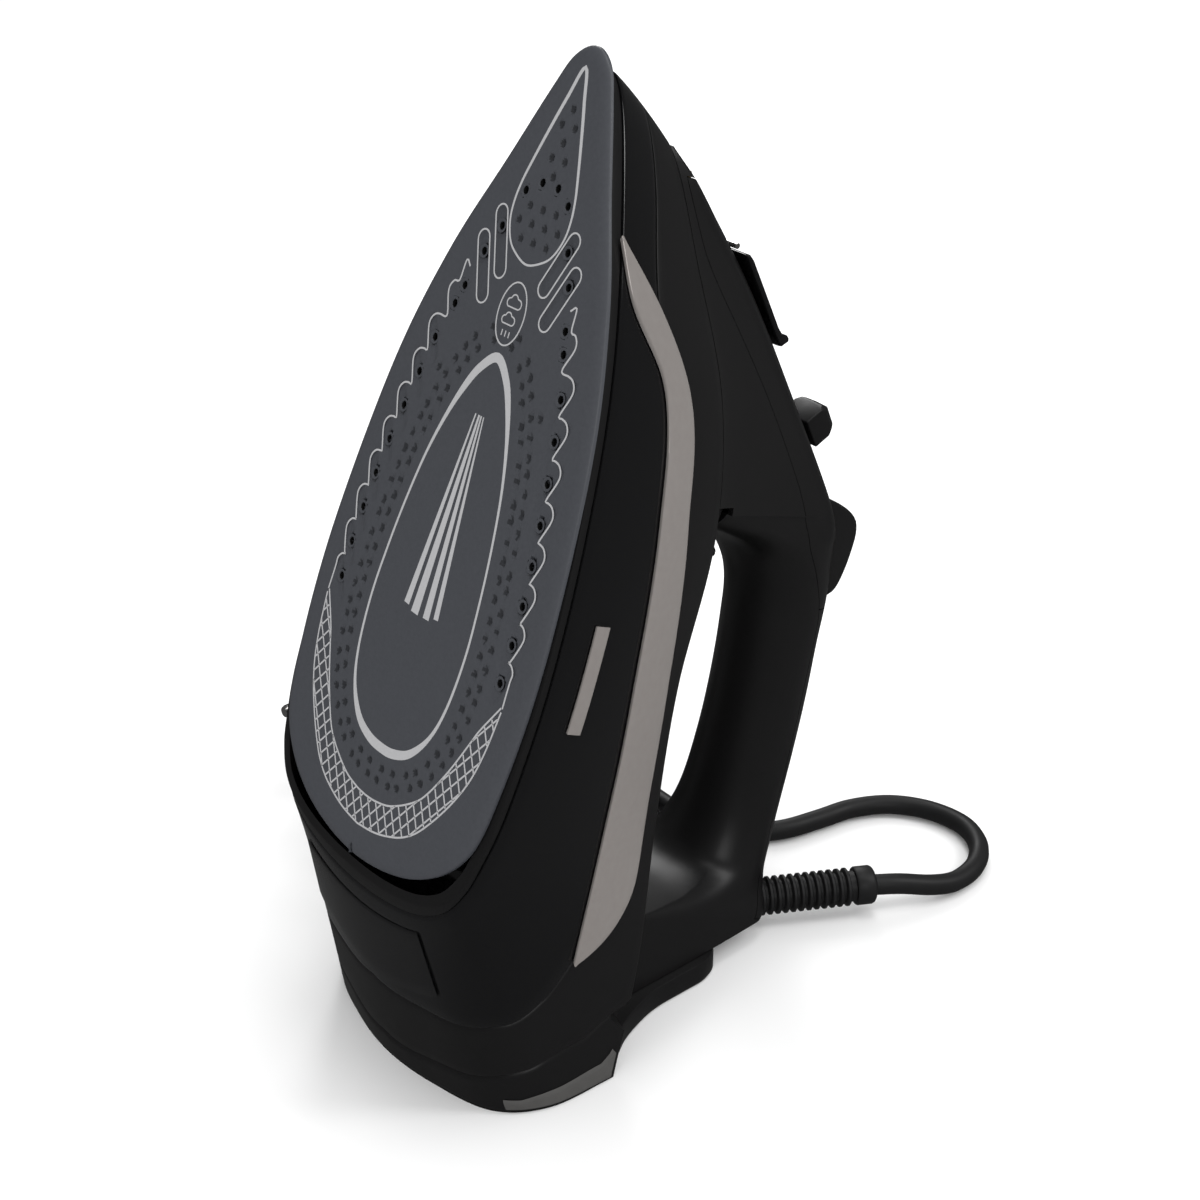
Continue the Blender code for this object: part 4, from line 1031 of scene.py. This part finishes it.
def make_print():
    def build(bm):
        print_ring(bm)
        print_icon(bm)
        print_capsules(bm)
        print_scallops(bm)
        print_mesh_band(bm)
        print_rays(bm)
    add_piece("sole_print", build, "trim_metallic", look=PRINT)


# ---------------------------------------------------------------- housing

def fine(start, stop, extra=()):
    return stations(start, stop, 0.1, extra)


def make_skirt():
    def build(bm):
        sections = []
        for s in fine(0, LAST):
            seam = curve_value(SKIRT_SEAM, s) - GAP
            outer = [side(s, y, 0.4 + inset) for y, inset in rounded_rows(BASE_Y, seam, 2, 0.35)]
            sections.append(outer + [side(s, seam, 3.2), side(s, BASE_Y, 3.2)])
        skin(bm, sections, closed=True)
        mirror_half(bm)
    add_piece("skirt", build, "charcoal_satin", replaces=("heat_shield_skirt",))


def make_tank():
    """Water tank with its raised floor, and rounded edges at both seams."""
    wall = TANK_WALL

    def build(bm):
        sections = []
        for s in fine(0, LAST):
            low, high = curve_value(SKIRT_SEAM, s), curve_value(TANK_SEAM, s)
            outer = [side(s, y, inset) for y, inset in rounded_rows(low, high, 10, 0.5)][::-1]
            inner_high = [side(s, y, wall) for y in (FLOOR_HIGH, high)]
            inner_low = [side(s, y, wall) for y in (low, FLOOR_LOW)]
            first, final = inner_high[0].copy(), inner_low[-1].copy()
            first.x = final.x = 0
            sections.append([first] + inner_high + outer + inner_low + [final])
        skin(bm, sections)
        mirror_half(bm)
    add_piece("gloss_tank", build, "gloss_black", replaces=("water_tank",), smooth=40)


def make_upper_shell():
    wall = SHELL_WALL

    def section(s, with_deck):
        low = curve_value(TANK_SEAM, s) + GAP
        high = top_edge(s)[1] if with_deck else curve_value(COVER_SEAM, s) - GAP
        outer = [side(s, y, inset) for y, inset in rounded_rows(low, high, 8, 0.5)]
        inner = [side(s, y, wall) for y in rows_between(low, high - (wall if with_deck else 0), 4)]
        middle_out, middle_in = outer[-1].copy(), inner[-1].copy()
        if with_deck:
            middle_out.x = middle_in.x = 0
        return [middle_in] + inner[::-1] + outer + [middle_out]

    def build(bm):
        front = [section(s, True) for s in fine(0, DECK_END)]
        rear = [section(s, False) for s in fine(DECK_END, LAST)]
        rear[0] = [front[-1][1]] + front[-1][1:-1] + [front[-1][-2]]
        last = skin(bm, front)[-1]
        skin(bm, [r[1:-1] for r in rear], closed=True)
        bm.faces.new((last[0], last[1], last[-2], last[-1]))
        mirror_half(bm)
    add_piece("charcoal_shell", build, "charcoal_satin", replaces=("upper_body_shell",), smooth=40)


def side_panel(bm, values, low_of, high_of, proud, sunk, rows=6, edge=0.35, sign=1):
    """Thin panel laid on the housing's side, with rounded long edges."""
    sections = []
    for s in values:
        low, high = low_of(s), high_of(s)
        edge_here = min(edge, (high - low) * 0.25)
        outer = [side(s, y, -proud + inset) for y, inset in rounded_rows(low, high, rows, edge_here)]
        back = [side(s, high, -sunk), side(s, low, -sunk)]
        sections.append([Vector((sign * p.x, p.y, p.z)) for p in outer + back])
    return skin(bm, sections, closed=True, cap=True)


def make_trims():
    for sign, name, node in ((1, "bright_strip_right", "trim_strip_right"),
                             (-1, "bright_strip_left", "trim_strip_left")):
        def build(bm):
            side_panel(bm, stations(2.12, 7.36, 0.04), lambda s: curve_value(STRIP_LOW, s),
                       lambda s: curve_value(STRIP_HIGH, s), 1.3, 0.35, 8, 0.5, sign)
        add_piece(name, build, "trim_metallic", replaces=(node,), smooth=50)


def make_badge():
    def build(bm):
        side_panel(bm, rows_between(4.58, 5.3, 24), lambda s: 15.2, lambda s: 20.6, 0.9, 0.3, 6, 0.35)
    add_piece("blank_badge", build, "trim_metallic", replaces=("badge_plate",))


def make_service_panel():
    def build(bm):
        sections = []
        for s in fine(10.25, LAST):
            rows = [side(s, y, inset - 0.9) for y, inset in rounded_rows(8.0, 20.5, 6, 0.4)]
            sections.append(rows + [side(s, 20.5, -0.3), side(s, 8.0, -0.3)])
        rows = skin(bm, sections, closed=True)
        bm.faces.new(rows[0])
        mirror_half(bm)
    add_piece("rear_panel", build, "gloss_black", replaces=("service_panel",))


def make_pads():
    table = [(7.8, 78.0), (8.0, 74.5), (8.36, 67.5), (8.65, 61.8), (8.94, 56.5), (9.3, 51.5), (9.7, 47.3)]

    def low_of(s):
        return min(curve_value(table, s), top_edge(s)[1] - 3.3)
    for sign, name, node in ((1, "pad_right", "heel_pad_right"), (-1, "pad_left", "heel_pad_left")):
        def build(bm):
            side_panel(bm, stations(7.8, 9.7, 0.06, (CORNER,)), low_of, lambda s: top_edge(s)[1] - 1.3,
                       0.7, 0.3, 8, 0.5, sign)
        add_piece(name, build, "grey_pad", replaces=(node,), smooth=50)


# ---------------------------------------------------------------- handle

def scene_object(name, mesh):
    thing = bpy.data.objects.new(name, mesh)
    bpy.context.scene.collection.objects.link(thing)
    return thing


def solid(name, build):
    """Working solid in the iron's frame, in metres, for the cuts below."""
    bm = bmesh.new()
    build(bm)
    bmesh.ops.scale(bm, vec=(MM, MM, MM), verts=bm.verts)
    bmesh.ops.remove_doubles(bm, verts=bm.verts, dist=0.000005)
    bmesh.ops.recalc_face_normals(bm, faces=bm.faces)
    mesh = bpy.data.meshes.new(name)
    bm.to_mesh(mesh)
    bm.free()
    return scene_object(name, mesh)


def cut(thing, cutter, operation="DIFFERENCE"):
    modifier = thing.modifiers.new("cut", "BOOLEAN")
    modifier.operation = operation
    modifier.object = cutter


def evaluated(thing):
    graph = bpy.context.evaluated_depsgraph_get()
    return bpy.data.meshes.new_from_object(thing.evaluated_get(graph))


def carved_piece(name, thing, slot, replaces, body="root", smooth=36, place=Matrix.Identity(4)):
    """Turns a working solid, with its modifiers, into a piece."""
    mesh = evaluated(thing)
    bpy.data.objects.remove(thing)
    mesh.name = name
    mesh.transform(TO_WORLD @ place @ Matrix.Scale(1 / MM, 4))
    mesh.materials.clear()
    mesh.materials.append(LOOKS[slot])
    for face in mesh.polygons:
        face.material_index = 0
    mesh.shade_smooth()
    mesh.set_sharp_from_angle(angle=math.radians(smooth))
    finish_piece(scene_object(name, mesh), body, replaces)


FINE_Q = ([0, 0.6, 1.2, 1.7, 1.93, 2, 2.12, 2.35, 2.7] + [3 + 0.35 * k for k in range(9)]
          + [6 + 0.25 * k for k in range(13)])
GRIP_ANGLES = (-90, -65, -42, -22, 0, 18, 36, 54, 72, 90)
FLOOR_SHARES = (0, 0.55, 1)
SIDE_SHARES = (0, 0.2, 0.45, 0.7, 1.0)


def along(values, q):
    """Value of a list at a fractional index."""
    i = min(int(q), len(values) - 2)
    return values[i] + (values[i + 1] - values[i]) * (q - i)


def deck_at(z):
    """Half width and height of the deck's edge at z."""
    low, high = 0.0, DECK_END
    for _ in range(30):
        middle = (low + high) / 2
        if top_edge(middle)[2] > z:
            low = middle
        else:
            high = middle
    x, y, _ = top_edge(low)
    return x, y


def fine_section(z, wall=0.0):
    """Half section of the handle at z in fine steps, underside to ridge."""
    low, high = curve_value(HANDLE, z, 1) + wall, curve_value(HANDLE, z, 3) - wall
    wide, narrow = curve_value(HANDLE, z, 2) - wall, curve_value(HANDLE, z, 4) - wall
    if z > ROUND_FROM:
        deck_x, deck_y = deck_at(z)
        low = deck_y + GAP + wall
        wide = max(deck_x - 0.4 - wall, 1.0)
    middle, reach = (low + high) / 2, (high - low) / 2
    roundness = ramp(z, ROUND_FROM, ROUND_TO) * (1 - ramp(z, TAIL_FROM, TAIL_TO))
    crown = min(9.0, reach)
    points = []
    for q in FINE_Q:
        if q <= 2:
            hood = (wide * along(FLOOR_SHARES, q), low)
        elif q <= 6:
            share = along(SIDE_SHARES, q - 2)
            hood = (wide + (narrow - wide) * share ** 0.85, low + (high - crown - low) * share)
        else:
            a = math.radians(30 * (q - 6))
            hood = (narrow * math.cos(a), high - crown + crown * math.sin(a))
        a = math.radians(along(GRIP_ANGLES, q))
        grip = ((wide + narrow) / 2 * math.cos(a), middle + reach * math.sin(a))
        points.append(Vector((hood[0] + (grip[0] - hood[0]) * roundness,
                              hood[1] + (grip[1] - hood[1]) * roundness, z)))
    return points


def handle_solid(name, high, low, wall=0.0, low_shift=0.0):
    values = sorted(set(rows_between(low, high, round((high - low) / 1.8)) + [ROUND_FROM, -5, -9.5]),
                    reverse=True)
    values = [z for z in values if low <= z <= high]

    def build(bm):
        sections = [fine_section(z, wall) for z in values]
        if low_shift:
            for section in sections:
                for point, q in zip(section, FINE_Q):
                    if q <= 2 and (point.z > ROUND_FROM or point.z < TAIL_TO):
                        point.y -= low_shift
        skin(bm, sections, cap=True)
        mirror_half(bm)
    return solid(name, build)


def block(name, size, at, slope=0.0):
    def build(bm):
        bmesh.ops.create_cube(bm, size=1)
        bmesh.ops.scale(bm, vec=size, verts=bm.verts)
        place = Matrix.Translation(at) @ Matrix.Rotation(slope, 4, "X")
        bmesh.ops.transform(bm, matrix=place, verts=bm.verts)
    return solid(name, build)


def drum(name, radius, length, place, sides=64):
    def build(bm):
        bmesh.ops.create_cone(bm, cap_ends=True, segments=sides, radius1=radius, radius2=radius, depth=length)
        bmesh.ops.transform(bm, matrix=place, verts=bm.verts)
    return solid(name, build)


def side_prism(name, outline, half=60.0):
    def build(bm):
        skin(bm, [[Vector((x, y, z)) for y, z in outline] for x in (-half, half)], closed=True, cap=True)
    return solid(name, build)


def parting(offset, shorter=0.0):
    """The covers' parting line moved up by the offset, heel end to nose."""
    return [(curve_value(COVER_LINE, z) + offset, z)
            for z in rows_between(-12 + shorter, 209.5 - shorter, 70)]


def lean_point(x, back, height):
    """Point of the iron's frame from x, distance back and height above the floor."""
    up = height - REST
    return Vector((x, back * math.cos(LEAN) - up * math.sin(LEAN),
                   back * math.sin(LEAN) + up * math.cos(LEAN)))


def guard_hole():
    """Working solid of the hole the cord guard turns in."""
    place = (Matrix.Translation((*GUARD_START, GUARD_HEIGHT)) @ Matrix.Rotation(-GUARD_TURN, 4, "Z")
             @ Matrix.Rotation(-math.pi / 2, 4, "X") @ Matrix.Translation((0, 0, 8)))
    to_iron = Matrix.Rotation(LEAN, 4, "X") @ Matrix.Translation((0, 0, -REST))
    return drum("guard_hole", 7.1, 50, to_iron @ place, 48)


def make_handle():
    """Handle shell, the cover over the hood and the cover along the grip."""
    hollow = handle_solid("hollow", 205, -41, HANDLE_WALL, 8.0)
    slot = block("dial_slot", (90, 13.4, 41.2), (0, 66.6, 103.9))
    disc = drum("dial_space", DIAL_R + 0.5, 7.6, Matrix.Translation((0, 69.6, DIAL_Z)) @ UPRIGHT, 96)
    below = [tuple(lean_point(0, back, height))[1:]
             for back, height in ((40, -30), (190, -30), (190, 8.2), (40, 8.2))]
    heel_side = side_prism("below_tail", below)
    above = side_prism("above_parting", [(400, -12), (400, 209.5)] + parting(0)[::-1])
    upper = side_prism("cover_region", [(400, -12 + GAP), (400, 209.5 - GAP)] + parting(GAP, GAP)[::-1])
    hole = guard_hole()
    nozzle_place = Matrix.Translation((0, NOZZLE_Y, 208.1)) @ Matrix.Rotation(0.05, 4, "Z")
    nozzle = drum("nozzle_hole", 2.7, 20.2, nozzle_place, 28)
    pin = drum("pin_groove", 1.4, 14, Matrix.Translation((0, LID_HINGE[0] - 0.6, LID_HINGE[1] + 0.4))
               @ Matrix.Rotation(math.pi / 2, 4, "Y"), 24)
    mouth = block("lid_mouth", (13, 26, 17), (0, 84, 180), RIDGE_SLOPE)
    slider = block("slider_slot", (5, 24, 16), (0, SLIDER_AT[0], SLIDER_AT[1]), RIDGE_SLOPE)
    well = block("button_well", (19.4, 34, 33.2), (0, 146, BUTTON_Z))

    shell = handle_solid("shell", 216, -42)
    for cutter in (nozzle, hollow, slot, disc, heel_side, above, hole):
        cut(shell, cutter)
    front = handle_solid("front", 216, 92)
    cut(front, upper, "INTERSECT")
    for cutter in (hollow, mouth, slider, well, pin, nozzle):
        cut(front, cutter)
    rear = handle_solid("rear", 91.6, -42)
    cut(rear, upper, "INTERSECT")
    for cutter in (hollow, heel_side, hole):
        cut(rear, cutter)
    carved_piece("handle_body", shell, "charcoal_satin", ("handle_shell",))
    carved_piece("hood_cover", front, "charcoal_satin", ("front_top_cover",))
    carved_piece("grip_cover", rear, "charcoal_satin", ("grip_top_cover",))
    for cutter in (hollow, slot, disc, heel_side, above, upper, hole, nozzle, pin, mouth, slider, well):
        bpy.data.objects.remove(cutter)


def make_heel_cover():
    """Heel cover: band round the heel, the plate it stands on and the base of the tail."""
    wall = COVER_WALL

    def section(s):
        low = curve_value(COVER_SEAM, s) + GAP
        high = top_edge(s)[1] - 0.01
        outer = [side(s, y, inset) for y, inset in rounded_rows(low, high, 8, 0.45)]
        outer[-1] = side(s, high)
        inner = [side(s, y, wall) for y in rows_between(low, high, 3)]
        lift = Vector((0, -wall, 0))
        if s >= CORNER:
            lift = Vector((0, -wall * math.sin(LEAN), wall * math.cos(LEAN)))
        inner[-1] = inner[-1] + lift
        middle_out, middle_in = outer[-1].copy(), inner[-1].copy()
        middle_out.x = middle_in.x = 0
        return [middle_in] + inner[::-1] + outer + [middle_out]

    def build(bm):
        rows = skin(bm, [section(s) for s in stations(7.6, LAST, 0.1, (CORNER,))])
        bm.faces.new(rows[0])
        mirror_half(bm)
    cover = solid("cover", build)
    corners = [(48, 54.5), (46.5, 61), (41, 69), (36.5, 79), (34, 88), (33, 100), (32, 109), (27, 116),
               (14, 119.5), (0, 120.5)]
    footprint = [spline(corners, i / 4, (False, True)) for i in range(4 * (len(corners) - 1) + 1)]

    def build_tail(bm):
        sections = []
        for height, inset in ((0, 1.0), (0.3, 0.4), (1.0, 0), (7.0, 0), (7.6, 0.3), (7.8, 0.8)):
            ring = [lean_point(x * (1 - inset / 40), back - inset * (back - 60) / 60, height)
                    for x, back in footprint]
            sections.append([lean_point(0, 54.5, height)] + ring)
        bottom = [Vector((0, p.y, p.z)) for p in sections[0]]
        top = [Vector((0, p.y, p.z)) for p in sections[-1]]
        skin(bm, [bottom] + sections + [top])
        mirror_half(bm)
    tail = solid("tail", build_tail)
    cut(cover, tail, "UNION")
    carved_piece("heel_shell", cover, "charcoal_satin", ("heel_cover",), smooth=40)
    bpy.data.objects.remove(tail)


# ---------------------------------------------------------------- controls

def bevelled_piece(name, build, place, slot, replaces, body, width=0.6, segments=3, smooth=40):
    """Piece whose sharp edges are rounded in millimetres before it is placed."""
    thing = solid(name + "_work", build)
    modifier = thing.modifiers.new("edges", "BEVEL")
    modifier.width = width * MM
    modifier.segments = segments
    modifier.limit_method = "ANGLE"
    modifier.angle_limit = math.radians(30)
    carved_piece(name, thing, slot, replaces, body, smooth, place)


def ridge_place(at):
    return Matrix.Translation((0, *at)) @ Matrix.Rotation(RIDGE_SLOPE, 4, "X")


def make_lid():
    """Filler lid with a turned-up finger tab at its free end."""
    def build(bm):
        lower = [(-2.7, 0.7), (-20, 0.65), (-33, 0.65), (-37.7, 0.9)]
        upper = [(-37.9, 4.2), (-36.9, 4.6), (-35.6, 4.3), (-33.9, 2.9), (-31.5, 2.55), (-20, 2.55),
                 (-6, 2.5), (-3.4, 2.0)]
        outline = lower + upper
        rows = []
        for x, inset in ((-8.25, 0.4), (-6, 0), (0, 0), (6, 0), (8.25, 0.4)):
            rows.append([Vector((x, y, z + (inset if z < -30 else 0))) for z, y in outline])
        skin(bm, rows, closed=True, cap=True)
    bevelled_piece("gloss_lid", build, ridge_place(LID_HINGE), "gloss_black",
                   ("filler_lid",), "lid", 0.55)


def make_slider():
    """Steam slider: a chamfered knob on a stem."""
    def build(bm):
        profile = [(0, -5.4), (1.8, -5.4), (1.8, 2.2), (6.2, 2.2), (6.2, 10.2), (4.8, 12.0), (0, 12.2)]
        whole = profile + [(-x, y) for x, y in profile[-2:0:-1]]
        rows = []
        for z_end, top in ((-5.2, -2.2), (-3.4, -0.2), (3.4, 0.0), (5.2, -1.6)):
            rows.append([Vector((x, y + (top if y > 9 else 0), z_end)) for x, y in whole])
        skin(bm, rows, closed=True, cap=True)
    bevelled_piece("slider_knob", build, ridge_place(SLIDER_AT), "charcoal_satin",
                   ("steam_slider",), "slider", 0.45)


BUTTON_OUTLINE = [(-16, -5), (-16, 4.3), (-13, 7.8), (-6, 9.3), (3, 9.3), (8, 8.3), (11.5, 5.8),
                  (14.2, 0), (16, -8), (16, -12)]


def make_buttons():
    """Two thumb buttons, crowned along their outer edges."""
    for sign, name, node, body in ((1, "thumb_button_right", "spray_button", "spray"),
                                   (-1, "thumb_button_left", "burst_button", "burst")):
        def build(bm):
            rows = []
            crown = even_path([tuple(map(float, p)) for p in BUTTON_OUTLINE[1:9]], 1.6)
            outline = [BUTTON_OUTLINE[0]] + crown + [BUTTON_OUTLINE[-1]]
            for x, drop, squeeze in ((0.25, 0, 1), (6.2, 0.05, 1), (7.6, 0.3, 0.995), (8.5, 0.9, 0.985),
                                     (8.9, 1.7, 0.97)):
                rows.append([Vector((sign * x, y - (drop if y > -4 else 0), z * squeeze))
                             for z, y in outline])
            skin(bm, rows, closed=True, cap=True)
        bevelled_piece(name, build, Matrix.Translation((0, 147.2, BUTTON_Z)),
                       "charcoal_satin", (node,), body, 0.35, 2, 50)


def dial_radius(angle):
    """Rim radius at an angle: a plain round rim and a finger tab with fine ribs."""
    degrees = (math.degrees(angle) + 180) % 360 - 180
    tab = ramp(degrees, -38, -35.5) * (1 - ramp(degrees, -22.5, -20))
    ribs = 0.35 * (1 if math.cos(math.radians(degrees) * 120) > 0 else 0) * (1 if tab > 0.9 else 0)
    return DIAL_R + (DIAL_TAB - 0.35) * tab + ribs


def make_dial():
    """Temperature dial under the handle."""
    def build(bm):
        count = 720
        rings = []
        for y, inset in ((DIAL_LOW, 1.2), (DIAL_LOW + 0.15, 0.5), (DIAL_LOW + 0.7, 0.05), (DIAL_LOW + 1.2, 0),
                         (DIAL_HIGH - 1.2, 0), (DIAL_HIGH - 0.7, 0.05), (DIAL_HIGH - 0.15, 0.5),
                         (DIAL_HIGH, 1.2)):
            ring = []
            for i in range(count):
                angle = 2 * math.pi * i / count
                radius = dial_radius(angle) - inset
                ring.append(Vector((radius * math.cos(angle), y, radius * math.sin(angle))))
            rings.append(ring)
        skin(bm, rings, closed=True, cap=True)
    place = TO_WORLD @ Matrix.Translation((0, 0, DIAL_Z))
    add_piece("dial_disc", build, "charcoal_satin", place, "dial", ("temperature_dial",), 30)

    def build_mark(bm):
        angle = math.atan2(131 - DIAL_Z, DIAL_R)
        rows = []
        for radius in (DIAL_R - 0.3, DIAL_R + 0.06):
            rows.append([Vector((radius * math.cos(angle + da), y, radius * math.sin(angle + da)))
                         for y, da in ((68.2, -0.035), (71.2, -0.035), (71.2, 0.035), (68.2, 0.035))])
        skin(bm, rows, closed=True, cap=True)
    add_piece("dial_pointer_mark", build_mark, "trim_metallic", place, "dial", look=DIAL_MARK)


def make_nozzle():
    def build(bm):
        profile = [(0.6, 0.2), (1.5, 0), (2.1, 0.2), (2.3, 0.7), (2.3, 6.2), (2.0, 6.8), (1.5, 7),
                   (0.9, 6.6), (0.6, 6.0)]
        turned(bm, profile, 40, Matrix.Translation((0, NOZZLE_Y, 204)))
    add_piece("nozzle_tip", build, "brass", replaces=("spray_nozzle",))


make_camera()
make_cord()
make_stage()
make_lights()
paint_frame()
make_guard()
make_soleplate()
make_hole_linings()
make_print()
make_skirt()
make_tank()
make_upper_shell()
make_trims()
make_badge()
make_service_panel()
make_pads()
make_heel_cover()
make_handle()
make_lid()
make_slider()
make_buttons()
make_dial()
make_nozzle()


def plain(value):
    """Nested lists of plain numbers."""
    if hasattr(value, "__len__"):
        return [plain(part) for part in value]
    return float(value)


{"cad": plain(CAD_BOX), "visual": plain(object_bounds())}
